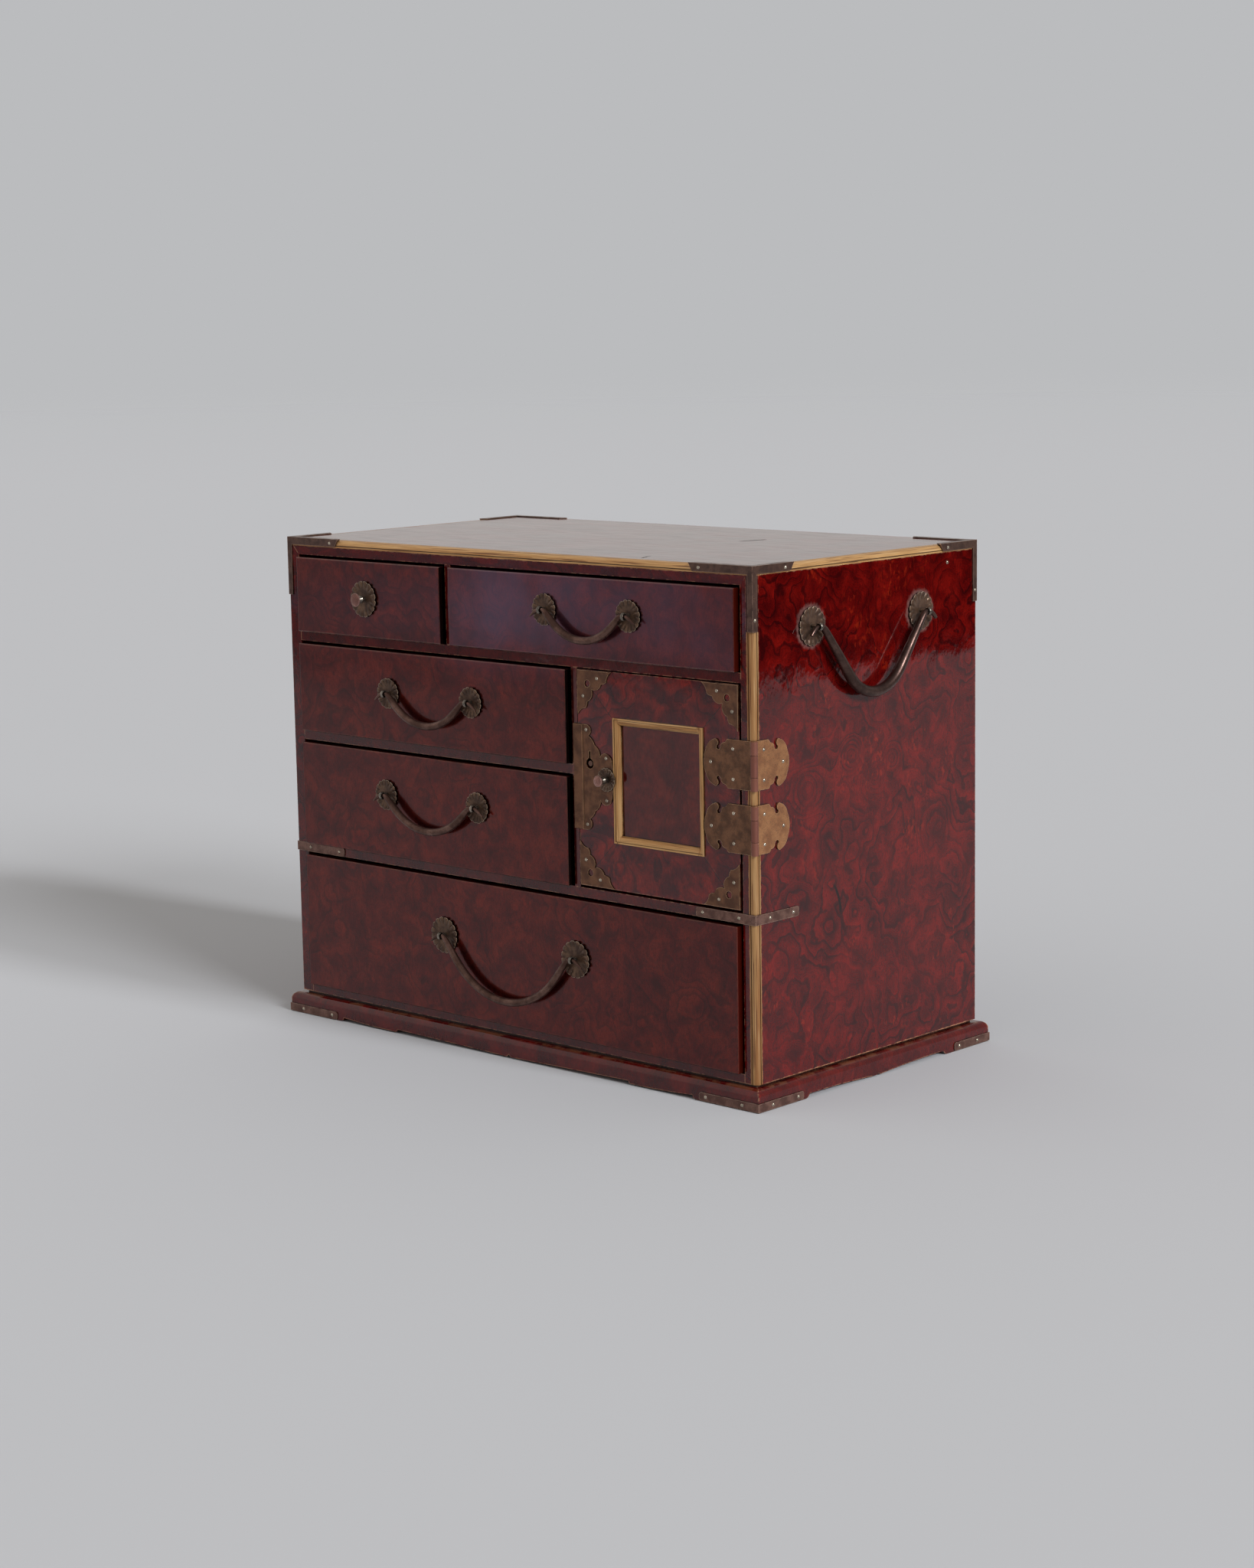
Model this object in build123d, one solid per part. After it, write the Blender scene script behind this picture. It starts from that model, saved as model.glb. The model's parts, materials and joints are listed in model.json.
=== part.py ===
from build123d import *
import math
import os

# A small lacquered merchant's chest. Millimetres, +Z up, front towards -Y.
# The origin is on the floor, under the middle of the whole object, pulls included.

# Case boards
case_width = 360.0
case_depth = 191.6
wall = 8.5
top_thick = 9.5
bottom_thick = 5.0
back_thick = 6.0
shelf_thick = 5.5
partition_thick = 4.3

# Clear heights of the rows, from the bottom row upwards
bottom_row = 81.0
lower_row = 62.5
middle_row = 53.5
upper_row = 45.5

# Clear widths of the bays that aren't the full width
cupboard_width = 117.5
upper_left_width = 124.0

# Plinth
plinth_height = 13.0
plinth_overhang = 5.4
plinth_board = 14.0
plinth_round = 4.0
plinth_groove = 1.2
plinth_groove_depth = 2.0
plinth_edge_rise = 2.4
foot_length = 43.5
end_foot_length = 39.0

# Gilt beads in the right front corner and the top edges
bead_size = 4.4
bead_fillet = 0.9
bead_groove = 0.5
bead_groove_depth = 0.5

# Metal plates and straps
plate_thick = 0.6
bracket_width = 3.8
bracket_front_arm = 43.5
bracket_side_arm = 33.0
bracket_upright_width = 3.0
bracket_drop = 33.6
bracket_slant = 2.6
strap_round = 1.6
waist_strap_width = 5.3
waist_front_arm = 41.0
waist_side_arm = 34.7
plinth_strap_width = 4.6
plinth_strap_lift = 0.5
plinth_front_arm = 41.3
plinth_side_arm = 36.5
plinth_rear_arm = 32.5

# Nails
nail_head = 1.0
nail_dome = 0.6
nail_shank = 0.45
nail_length = 4.0
bracket_nail_inset = 7.0
bracket_nail_lift = 6.2
strap_near_nail = 11.2
strap_far_inset = 4.5
lone_nail_drop = 6.3
fit = 0.03

# Drawers
front_thick = 9.5
front_proud = 3.5
front_side_gap = 1.4
front_top_gap = 1.3
slide_gap = 0.3
box_gap = 1.7
box_board = 5.0
box_bottom = 3.0
box_top_drop = 4.0
box_back_gap = 3.0

# Bails and their eye posts, on the drawers and on the ends
pull_rosette = 8.5
large_rosette = 10.2
rosette_thick = 0.7
rosette_dish = 0.7
petal_count = 16
eye_out = 4.3
eye_play = 0.08
eye_wall = 1.2
eye_width = 2.0
post_shank = 1.2
clinch_length = 6.0
clinch_thick = 0.8
pin_radius = 1.1
pin_reach = 3.2
bail_rod = 2.2
bail_end = 1.5
tail_length = 5.0
tail_tip = 0.5
tail_slope_share = 0.5
handle_out = 6.0
handle_rod = 3.0
handle_end = 1.9
handle_span = 93.5
handle_sag = 39.0
handle_bow_share = 0.62
handle_height = 239.0
handle_shift = -2.2
bail_bow_share = 0.93

# Knobs
knob_length = 8.2
knob_cap = 3.9
knob_cap_thick = 1.3
knob_cap_dome = 0.5
knob_waist = 2.4
knob_bead = 1.1
knob_neck = 1.3
door_knob_length = 8.6
door_knob_cap = 2.65
door_knob_rosette = 6.1

# Door
door_proud = 0.3
door_thick = 10.0
door_gap = 0.7
door_hinge_gap = 1.2
door_bottom_gap = 1.5
lock_stile_width = 26.3
hinge_stile_width = 24.8
top_rail_width = 24.8
bottom_rail_width = 26.0
panel_sink = 2.2
panel_thick = 4.5
moulding_width = 4.0
moulding_rise = 0.9
moulding_flat = 0.8
moulding_lip = 0.4
moulding_inner_depth = 1.4
corner_plate_width = 25.0
corner_plate_height = 24.2
corner_plate_hole = 2.0
corner_plate_inset = 0.4

# Hinges on the right front corner
hinge_height = 25.9
hinge_gap = 8.1
hinge_radius = 2.0
hinge_pin = 0.9
hinge_play = 0.05
hinge_out = 0.8
leaf_thick = 0.9
leaf_gap = 0.35
door_leaf_length = 34.6
end_leaf_length = 28.0
leaf_ornament = 16.6
knuckle_gap = 0.2
knuckle_share = 0.28

# Lock
lock_rise = 0.7
strip_width = 7.1
strip_height = 58.0
strip_thick = 1.2
strip_chamfer = 0.4
strip_overlap = 2.5
lock_plate_reach = 22.2
keyhole_inset = 4.8
keyhole_rise = 7.7
keyhole_radius = 2.9
key_slot_width = 1.4
key_slot_rise = 6.8
key_pin = 1.5
case_length = 14.0
case_height = 22.5
case_thick = 6.0
case_wall = 0.8
lock_case_inset = 2.8
bolt_length = 14.3
bolt_height = 6.0
bolt_thick = 2.6
bolt_play = 0.15
bolt_sink = 0.4
strike_thick = 0.8
strike_margin = 5.0
mortise_depth = 2.0
door_knob_inset = 21.2

# One overrun serves all cuts
overrun = 5.0

# Outlines as shares of their own width and height. Each pair is an arc: through one point, to the
# next one.
plinth_front_shares = [
    ((0.985, 0.3), (0.979, 1.0)),
    ((0.83, 0.5), (0.67, 0.375)),
    ((0.655, 0.5), (0.649, 1.0)),
    ((0.33, 0.7), (0.016, 0.375)),
    ((0.006, 0.6), (0.0, 1.0)),
]
plinth_end_shares = [
    ((0.97, 0.3), (0.95, 1.0)),
    ((0.5, 0.85), (0.04, 0.3)),
    ((0.015, 0.4), (0.0, 0.6)),
]
leaf_shares = [
    ((0.05, 0.935), (0.085, 0.86)),
    ((0.19, 0.83), (0.275, 0.735)),
    ((0.30, 0.60), (0.385, 0.545)),
    ((0.46, 0.60), (0.425, 0.71)),
    ((0.395, 0.81), (0.425, 0.90)),
    ((0.48, 0.96), (0.57, 0.935)),
    ((0.80, 0.75), (0.91, 0.47)),
    ((0.975, 0.25), (1.0, 0.0)),
]
corner_plate_shares = [
    ((0.90, 0.09), (0.85, 0.235)),
    ((0.77, 0.275), (0.70, 0.285)),
    ((0.58, 0.42), (0.415, 0.415)),
    ((0.42, 0.58), (0.285, 0.70)),
    ((0.275, 0.77), (0.235, 0.85)),
    ((0.09, 0.90), (0.0, 1.0)),
]
corner_nail_shares = [(0.58, 0.16), (0.16, 0.58)]
corner_hole_share = 0.295
lock_plate_shares = [
    ((0.245, 0.925), (0.18, 0.79)),
    ((0.30, 0.72), (0.38, 0.62)),
    ((0.51, 0.54), (0.557, 0.395)),
    ((0.65, 0.475), (0.76, 0.485)),
    ((0.90, 0.43), (0.955, 0.30)),
    ((0.985, 0.20), (1.0, 0.10)),
]
lock_lobe_share = 0.09
lock_nail_shares = [(0.10, 0.90), (0.76, 0.40)]
leaf_nail_shares = [(-0.22, 0.62), (-0.22, -0.62), (0.71, 0.0)]
knob_waist_share = 0.42
rosette_foot_share = 0.3

# Levels and faces that the driving sizes give
case_bottom = plinth_height
floor_top = case_bottom + bottom_thick
lower_shelf = floor_top + bottom_row
lower_shelf_top = lower_shelf + shelf_thick
middle_shelf = lower_shelf_top + lower_row
middle_shelf_top = middle_shelf + shelf_thick
upper_shelf = middle_shelf_top + middle_row
upper_shelf_top = upper_shelf + shelf_thick
top_under = upper_shelf_top + upper_row
case_top = top_under + top_thick
door_bottom = lower_shelf_top + door_bottom_gap
door_top = upper_shelf - door_gap
lock_height = (door_bottom + door_top) / 2 + lock_rise
hinge_step = (hinge_height + hinge_gap) / 2
hinge_heights = (lock_height + hinge_step, lock_height - hinge_step)

front_reach = front_proud + knob_length
back_reach = plinth_overhang + plate_thick + nail_dome
front_y = (front_reach - back_reach - case_depth) / 2
back_y = front_y + case_depth
middle_y = front_y + case_depth / 2
right_x = case_width / 2
inner_x = right_x - wall
partition_right = inner_x - cupboard_width
partition_left = partition_right - partition_thick
divider_left = upper_left_width - inner_x
divider_right = divider_left + partition_thick
back_inner = back_y - back_thick
eye_hole = pin_radius + eye_play

# Faces of the case: local x runs to the right of someone who looks at the face, local y upwards
FRONT = Plane(origin=(0, front_y, 0), x_dir=(1, 0, 0), z_dir=(0, -1, 0))
RIGHT = Plane(origin=(right_x, 0, 0), x_dir=(0, 1, 0), z_dir=(1, 0, 0))
TOP = Plane(origin=(0, 0, case_top), x_dir=(1, 0, 0), z_dir=(0, 0, 1))
DOOR = FRONT.offset(door_proud)
PLINTH_FRONT = FRONT.offset(plinth_overhang)
PLINTH_RIGHT = RIGHT.offset(plinth_overhang)
MIDDLE = Plane(origin=(0, middle_y, 0), x_dir=(1, 0, 0), z_dir=(0, 1, 0))

parts = {}


def block(x0, x1, y0, y1, z0, z1):
    """A board between two opposite corners."""
    corner = (Align.MIN, Align.MIN, Align.MIN)
    return Pos(x0, y0, z0) * Box(x1 - x0, y1 - y0, z1 - z0, align=corner)


def outline(start, *steps):
    """A closed face. A step is a point for a straight run, or a pair of points for an arc."""
    edges = []
    here = start
    for step in steps:
        if isinstance(step[0], tuple):
            edges.append(ThreePointArc(here, step[0], step[1]))
            here = step[1]
        else:
            edges.append(Line(here, step))
            here = step
    edges.append(Line(here, start))
    return make_face(edges)


def scaled(shares, width, height):
    """The arcs of a table of shares, at their real size."""
    return [tuple((u * width, v * height) for u, v in arc) for arc in shares]


def dome(radius, base, rise):
    """The arc of a round cap from its rim in to the axis."""
    whole = (radius**2 + rise**2) / (2 * rise)
    half_angle = math.asin(radius / whole) / 2
    via = (whole * math.sin(half_angle), base + rise - whole + whole * math.cos(half_angle))
    return via, (0, base + rise)


def group(solids):
    """Several separate solids that share one node."""
    return Compound(list(solids))


def mirrored_pair(shape):
    return [shape, mirror(shape, about=Plane.YZ)]


def both_sides(shapes):
    """The shapes of the right side and their copies on the left."""
    return [copy for shape in shapes for copy in mirrored_pair(shape)]


def four_corners(front, rear):
    """Shapes for four corners. Both lists are drawn at the right front corner."""
    return both_sides(front) + [mirror(shape, about=MIDDLE) for shape in both_sides(rear)]


# Nails: a domed head on a shank, and the hole that each one needs


def nail(plane, x, y, lift=0.0):
    """A nail at a place on a face, with its head on a plate that stands off that face by lift."""
    profile = outline(
        (0, -nail_length),
        (nail_shank, -nail_length),
        (nail_shank, 0),
        (nail_head, 0),
        dome(nail_head, 0, nail_dome),
    )
    solid = revolve(Plane.XZ * profile, Axis.Z)
    spot = plane.from_local_coords((x, y, lift))
    return Plane(origin=spot, z_dir=plane.z_dir) * solid


def nail_hole(plane, x, y, lift=0.0):
    length = nail_length + overrun
    spot = plane.from_local_coords((x, y, lift - nail_length))
    hole = Cylinder(nail_shank + fit, length, align=(Align.CENTER, Align.CENTER, Align.MIN))
    return Plane(origin=spot, z_dir=plane.z_dir) * hole


def touches(a, b):
    """Whether two bounding boxes meet."""
    a_box, b_box = a.bounding_box(), b.bounding_box()
    low = [max(p, q) for p, q in zip(a_box.min, b_box.min)]
    high = [min(p, q) for p, q in zip(a_box.max, b_box.max)]
    return all(p < q for p, q in zip(low, high))


def drilled(shape, holes):
    for hole in holes:
        if touches(shape, hole):
            shape = shape - hole
    return shape


# Case


def end_board():
    """The right end board, mitred to the top board."""
    face = outline(
        (inner_x, case_bottom), (right_x, case_bottom), (right_x, case_top), (inner_x, top_under)
    )
    return extrude(FRONT * face, -case_depth)


def top_board():
    face = outline(
        (-right_x, case_top), (right_x, case_top), (inner_x, top_under), (-inner_x, top_under)
    )
    return extrude(FRONT * face, -case_depth)


def bead_rebates():
    """The grooves that take the beads."""
    inset = right_x - bead_size
    low = case_top - bead_size
    corner = block(inset, right_x, front_y, front_y + bead_size, case_bottom, case_top)
    side = block(inset, right_x, front_y, back_y, low, case_top)
    front = block(-right_x, right_x, front_y, front_y + bead_size, low, case_top)
    return [corner, front] + mirrored_pair(side)


def bead_profile():
    """A quarter round between two grooves and two narrow flats, its corner at the local origin,
    growing to -x and -y."""
    flat = bead_fillet - bead_size
    shoulder = flat + bead_groove
    centre = shoulder * (1 - math.sqrt(0.5))
    return outline(
        (-bead_size, -bead_size),
        (0, -bead_size),
        (0, flat),
        (-bead_groove_depth, flat),
        (-bead_groove_depth, shoulder),
        (0, shoulder),
        ((centre, centre), (shoulder, 0)),
        (shoulder, -bead_groove_depth),
        (flat, -bead_groove_depth),
        (flat, 0),
        (-bead_size, 0),
    )


def beads():
    low = case_top - bead_size
    corner = Plane(origin=(right_x, front_y, case_bottom), x_dir=(0, -1, 0), z_dir=(0, 0, 1))
    side = Plane(origin=(right_x, front_y + bead_size, case_top), x_dir=(0, 0, 1), z_dir=(0, 1, 0))
    front = Plane(origin=(-right_x, front_y, case_top), x_dir=(0, 0, 1), z_dir=(1, 0, 0))
    upright = extrude(corner * bead_profile(), low - case_bottom)
    top_side = extrude(side * bead_profile(), case_depth - bead_size)
    top_front = extrude(front * bead_profile(), case_width)
    return [upright, top_front] + mirrored_pair(top_side)


# Plinth


def edge_cut(toe, shares):
    """The region under the cut lower edge of a plinth board, between its two feet."""
    arcs = scaled(shares, toe, plinth_edge_rise)
    half = outline((toe, 0), *arcs, (0, -overrun), (toe, -overrun))
    return half + mirror(half, about=Plane.YZ)


def plinth_ring():
    """The ring before it is cut into boards. A narrow rim carries the case and leaves a shadow gap."""
    x1 = right_x + plinth_overhang
    y0 = front_y - plinth_overhang
    y1 = back_y + plinth_overhang
    outer = block(-x1, x1, y0, y1, 0, plinth_height - plinth_groove)
    outer = fillet(outer.faces().sort_by(Axis.Z)[-1].edges(), plinth_round)
    inset = plinth_groove_depth
    rim_x = right_x - inset
    outer = outer + block(-rim_x, rim_x, front_y + inset, back_y - inset, 0, plinth_height)
    hollow = block(
        -x1 + plinth_board,
        x1 - plinth_board,
        y0 + plinth_board,
        y1 - plinth_board,
        -overrun,
        plinth_height + overrun,
    )
    front_cut = edge_cut(x1 - foot_length, plinth_front_shares)
    end_cut = Pos(middle_y, 0) * edge_cut((y1 - y0) / 2 - end_foot_length, plinth_end_shares)
    through = case_width + case_depth
    ring = outer - hollow
    ring = ring - extrude(PLINTH_FRONT.offset(overrun) * front_cut, -through)
    return ring - extrude(PLINTH_RIGHT.offset(overrun) * end_cut, -through)


def plinth_boards():
    """The four mitred boards of the plinth."""
    ring = plinth_ring()
    x1 = right_x + plinth_overhang
    y0 = front_y - plinth_overhang
    y1 = back_y + plinth_overhang
    inner_x1, inner_y0, inner_y1 = x1 - plinth_board, y0 + plinth_board, y1 - plinth_board
    front = outline((-x1, y0), (x1, y0), (inner_x1, inner_y0), (-inner_x1, inner_y0))
    end = outline((x1, y0), (x1, y1), (inner_x1, inner_y1), (inner_x1, inner_y0))
    front_board = ring & extrude(front, plinth_height)
    end_piece = ring & extrude(end, plinth_height)
    return {
        "plinth_front": front_board,
        "plinth_back": mirror(front_board, about=MIDDLE),
        "plinth_right": end_piece,
        "plinth_left": mirror(end_piece, about=Plane.YZ),
    }


# Corner metalwork, all drawn for the right front corner


def angle_plate(plane, corner, along, down, arm, drop, drop_width, drop_slant):
    """An L of two arms from a corner of a face; along and down are +1 or -1 in local x and y."""
    t = plate_thick

    def at(u, v):
        return (corner[0] + along * u, corner[1] + down * v)

    face = outline(
        at(-t, -t),
        at(arm, -t),
        at(arm - bracket_slant, bracket_width),
        at(drop_width, bracket_width),
        at(drop_width, drop - drop_slant),
        at(-t, drop),
    )
    return extrude(plane * face, plate_thick)


def top_bracket():
    front_arm, side_arm = bracket_front_arm, bracket_side_arm
    upright = (bracket_drop, bracket_upright_width, 0)
    front = angle_plate(FRONT, (right_x, case_top), -1, -1, front_arm, *upright)
    side = angle_plate(RIGHT, (front_y, case_top), 1, -1, side_arm, *upright)
    lying = (side_arm, bracket_width, bracket_slant)
    top = angle_plate(TOP, (right_x, front_y), -1, 1, front_arm, *lying)
    return front + side + top


def band(plane, tip, root, z, width):
    """A straight band, its tip rounded at the corners."""
    body = Pos((tip + root) / 2, z) * Rectangle(abs(root - tip), width)
    ends = body.vertices().sort_by(Axis.X)
    body = fillet(ends[:2] if tip < root else ends[-2:], strap_round)
    return extrude(plane * body, plate_thick)


def corner_strap(front, side, corner_x, corner_y, front_arm, side_arm, z, width):
    """A strap round an upright corner, with one arm on each face."""
    a = band(front, corner_x - front_arm, corner_x + plate_thick, z, width)
    b = band(side, corner_y + side_arm, corner_y - plate_thick, z, width)
    return a + b


def strap_nails(make, front, side, corner_x, corner_y, front_arm, side_arm, z):
    """Two nails in each arm of a strap."""
    places = [
        (front, corner_x - front_arm + strap_far_inset),
        (front, corner_x - strap_near_nail),
        (side, corner_y + strap_near_nail),
        (side, corner_y + side_arm - strap_far_inset),
    ]
    return [make(face, x, z, plate_thick) for face, x in places]


waist_z = lower_shelf + shelf_thick / 2
waist_place = (FRONT, RIGHT, right_x, front_y, waist_front_arm, waist_side_arm, waist_z)
plinth_strap_z = plinth_strap_lift + plinth_strap_width / 2
plinth_corner = (right_x + plinth_overhang, front_y - plinth_overhang)


def plinth_place(side_arm):
    """Where a strap round a corner of the plinth lies."""
    return (PLINTH_FRONT, PLINTH_RIGHT, *plinth_corner, plinth_front_arm, side_arm, plinth_strap_z)


def bracket_nails(make):
    """One nail near each end of a top bracket."""
    mid = bracket_width / 2
    upright_mid = (bracket_upright_width - plate_thick) / 2
    inset = bracket_nail_inset
    low = case_top - bracket_drop + bracket_nail_lift
    return [
        make(FRONT, right_x - bracket_front_arm + inset, case_top - mid, plate_thick),
        make(RIGHT, front_y + upright_mid, low, plate_thick),
        make(RIGHT, front_y + bracket_side_arm - inset, case_top - mid, plate_thick),
    ]


def corner_nails(make):
    """Nails or holes for every fitting on the four corners, and for one nail with no fitting."""
    front = bracket_nails(make) + strap_nails(make, *plinth_place(plinth_side_arm))
    front = front + strap_nails(make, *waist_place)
    rear = bracket_nails(make) + strap_nails(make, *plinth_place(plinth_rear_arm))
    lone_y = back_y - bracket_side_arm + bracket_nail_inset
    lone = make(RIGHT, lone_y, case_top - bracket_width - lone_nail_drop)
    return four_corners(front, rear) + [lone]


# Hinges

hinge_x = right_x + hinge_out
hinge_y = front_y - hinge_out


def leaf_outline(length):
    """One leaf from the hinge axis at x = 0 outwards, with a lobed, notched outer end."""
    half = hinge_height / 2
    straight = length - leaf_ornament
    arcs = [
        tuple((straight + u, v) for u, v in arc)
        for arc in scaled(leaf_shares, leaf_ornament, half)
    ]
    upper = outline((0, 0), (0, half), (straight, half), *arcs)
    return upper + mirror(upper, about=Plane.XZ)


def knuckle(z0, z1):
    length = z1 - z0
    barrel = Cylinder(hinge_radius, length, align=(Align.CENTER, Align.CENTER, Align.MIN))
    return Pos(hinge_x, hinge_y, z0) * barrel


def pin_bore(z, play):
    bore = Cylinder(hinge_pin + play, hinge_height + overrun)
    return Pos(hinge_x, hinge_y, z) * bore


def clearance_ring(z0, z1):
    """The room that a moving knuckle needs in the other leaf."""
    ring = Cylinder(
        hinge_radius + leaf_gap, z1 - z0, align=(Align.CENTER, Align.CENTER, Align.MIN)
    )
    return Pos(hinge_x, hinge_y, z0) * ring


def hinge_levels(z):
    """Bottom, lower joint, upper joint and top of the three knuckles."""
    half = hinge_height / 2
    outer = hinge_height * knuckle_share
    return z - half, z - half + outer, z + half - outer, z + half


def leaf_nail_spots(length, z):
    half = hinge_height / 2
    start = length - leaf_ornament
    return [(start + leaf_ornament * u, z + half * v) for u, v in leaf_nail_shares]


def end_leaf(z):
    low, joint_low, joint_high, high = hinge_levels(z)
    plate = Pos(hinge_y, z) * leaf_outline(end_leaf_length)
    leaf = extrude(RIGHT * plate, leaf_thick)
    leaf = leaf - clearance_ring(joint_low - knuckle_gap, joint_high + knuckle_gap)
    leaf = leaf + knuckle(low, joint_low - knuckle_gap) + knuckle(joint_high + knuckle_gap, high)
    return leaf - pin_bore(z, fit)


def door_leaf(z):
    low, joint_low, joint_high, high = hinge_levels(z)
    flipped = mirror(leaf_outline(door_leaf_length), about=Plane.YZ)
    leaf = extrude(DOOR * (Pos(hinge_x, z) * flipped), leaf_thick)
    leaf = leaf - clearance_ring(low - overrun, joint_low)
    leaf = leaf - clearance_ring(joint_high, high + overrun)
    leaf = leaf + knuckle(joint_low, joint_high)
    return leaf - pin_bore(z, hinge_play)


def hinge_pin_at(z):
    return Pos(hinge_x, hinge_y, z) * Cylinder(hinge_pin, hinge_height)


def end_leaf_nails(make):
    return [
        make(RIGHT, hinge_y + u, v, leaf_thick)
        for z in hinge_heights
        for u, v in leaf_nail_spots(end_leaf_length, z)
    ]


def door_leaf_nails(make):
    return [
        make(DOOR, hinge_x - u, v, leaf_thick)
        for z in hinge_heights
        for u, v in leaf_nail_spots(door_leaf_length, z)
    ]


# Door

door_left = partition_right + door_gap
door_right = inner_x - door_hinge_gap
opening_left = door_left + lock_stile_width
opening_right = door_right - hinge_stile_width
opening_bottom = door_bottom + bottom_rail_width
opening_top = door_top - top_rail_width
door_face_y = front_y - door_proud


def frame_trapezoids(outer, inner):
    """Four mitred trapezoids between an outer and an inner rectangle (left, right, bottom, top)."""
    ol, orr, ob, ot = outer
    il, ir, ib, it = inner
    return [
        outline((ol, ob), (il, ib), (il, it), (ol, ot)),
        outline((orr, ob), (orr, ot), (ir, it), (ir, ib)),
        outline((ol, ob), (orr, ob), (ir, ib), (il, ib)),
        outline((ol, ot), (il, it), (ir, it), (orr, ot)),
    ]


door_outer = (door_left, door_right, door_bottom, door_top)
door_opening = (opening_left, opening_right, opening_bottom, opening_top)
moulding_inner = (
    opening_left + moulding_width,
    opening_right - moulding_width,
    opening_bottom + moulding_width,
    opening_top - moulding_width,
)


def door_frame():
    return [
        extrude(DOOR * face, -door_thick) for face in frame_trapezoids(door_outer, door_opening)
    ]


def door_panel():
    face = Pos((opening_left + opening_right) / 2, (opening_bottom + opening_top) / 2) * Rectangle(
        opening_right - opening_left, opening_top - opening_bottom
    )
    return extrude(DOOR.offset(-panel_sink) * face, -panel_thick)


def moulding_section():
    """A narrow flat, a small step and a quarter round that falls to the panel."""
    fall = moulding_rise - moulding_lip + moulding_inner_depth
    run = moulding_width - moulding_flat
    via = (moulding_flat + run * math.sqrt(0.5), fall * math.sqrt(0.5) - moulding_inner_depth)
    return outline(
        (0, -panel_sink),
        (0, moulding_rise),
        (moulding_flat, moulding_rise),
        (moulding_flat, moulding_rise - moulding_lip),
        (via, (moulding_width, -moulding_inner_depth)),
        (moulding_width, -panel_sink),
    )


def moulding():
    """Four mitred lengths of gilt moulding round the sunk panel."""
    left, right, bottom, top = door_opening
    outward = (0, -1, 0)
    starts = [
        ((left, door_face_y, bottom), (1, 0, 0), top - bottom),
        ((right, door_face_y, bottom), (-1, 0, 0), top - bottom),
        ((left, door_face_y, bottom), (0, 0, 1), right - left),
        ((left, door_face_y, top), (0, 0, -1), right - left),
    ]
    bars = []
    for (origin, inward, length), face in zip(starts, frame_trapezoids(door_opening, moulding_inner)):
        along = Vector(inward).cross(Vector(outward))
        start = Vector(origin)
        if along.Z + along.X < 0:
            start = start - along * length
        plane = Plane(origin=start, x_dir=inward, z_dir=along)
        bar = extrude(plane * moulding_section(), length)
        prism = extrude(DOOR.offset(-panel_sink) * face, panel_sink + moulding_rise)
        bars.append(bar & prism)
    return bars


def corner_plate_face():
    w, h = corner_plate_width, corner_plate_height
    hole = Pos(w * corner_hole_share, h * corner_hole_share) * Circle(corner_plate_hole)
    return outline((0, 0), (w, 0), *scaled(corner_plate_shares, w, h)) - hole


def corner_places():
    """The outer corners of the four plates with the directions into the door."""
    left, right = door_left + corner_plate_inset, door_right - corner_plate_inset
    bottom, top = door_bottom + corner_plate_inset, door_top - corner_plate_inset
    return [(left, bottom, 1, 1), (right, bottom, -1, 1), (left, top, 1, -1), (right, top, -1, -1)]


def corner_plates():
    plates = []
    for x, z, along, up in corner_places():
        face = corner_plate_face()
        if along < 0:
            face = mirror(face, about=Plane.YZ)
        if up < 0:
            face = mirror(face, about=Plane.XZ)
        plates.append(extrude(DOOR * (Pos(x, z) * face), plate_thick))
    return plates


def corner_plate_nails(make):
    w, h = corner_plate_width, corner_plate_height
    return [
        make(DOOR, x + along * u * w, z + up * v * h, plate_thick)
        for x, z, along, up in corner_places()
        for u, v in corner_nail_shares
    ]


# Lock

strip_left = partition_right - strip_overlap
strip_right = strip_left + strip_width
keyhole_x = strip_right + keyhole_inset
keyhole_z = lock_height + keyhole_rise
door_knob_x = door_left + door_knob_inset
lock_case_left = door_left + lock_case_inset
lock_case_back = door_face_y + door_thick
lock_case_front = lock_case_back - case_thick
bolt_y = (lock_case_front + lock_case_back) / 2
bolt_bottom = lock_height - bolt_height
bolt_left = door_left + bolt_sink
case_floor = bolt_bottom - bolt_play - case_wall


def lock_plate():
    w, h = lock_plate_reach, strip_height / 2
    arcs = scaled(lock_plate_shares, w, h)
    upper = outline((0, 0), (0, h), (lock_lobe_share * w, h), *arcs, (w, 0))
    face = upper + mirror(upper, about=Plane.XZ)
    plate = extrude(DOOR * (Pos(strip_right, lock_height) * face), plate_thick)
    return plate - keyhole(plate_thick + overrun)


def keyhole(depth):
    """A round hole with a slot above it, cut from outside to a depth behind the door's face."""
    slot = Pos(keyhole_x, keyhole_z + key_slot_rise / 2) * Rectangle(key_slot_width, key_slot_rise)
    face = Pos(keyhole_x, keyhole_z) * Circle(keyhole_radius) + slot
    return extrude(DOOR.offset(overrun) * face, -overrun - depth)


def cover_strip():
    strip = block(
        strip_left,
        strip_right,
        door_face_y - strip_thick,
        door_face_y,
        lock_height - strip_height / 2,
        lock_height + strip_height / 2,
    )
    return chamfer(strip.faces().sort_by(Axis.Y)[0].edges(), strip_chamfer)


def lock_nails(make):
    w, h = lock_plate_reach, strip_height / 2
    return [
        make(DOOR, strip_right + u * w, lock_height + side * v * h, plate_thick)
        for u, v in lock_nail_shares
        for side in (1, -1)
    ]


def lock_pocket():
    """The room for the lock case in the stile, open at the back, with the slot for the bolt."""
    pocket = block(
        lock_case_left,
        lock_case_left + case_length,
        lock_case_front,
        lock_case_back + overrun,
        case_floor,
        case_floor + case_height,
    )
    return [pocket, bolt_slot()]


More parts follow.
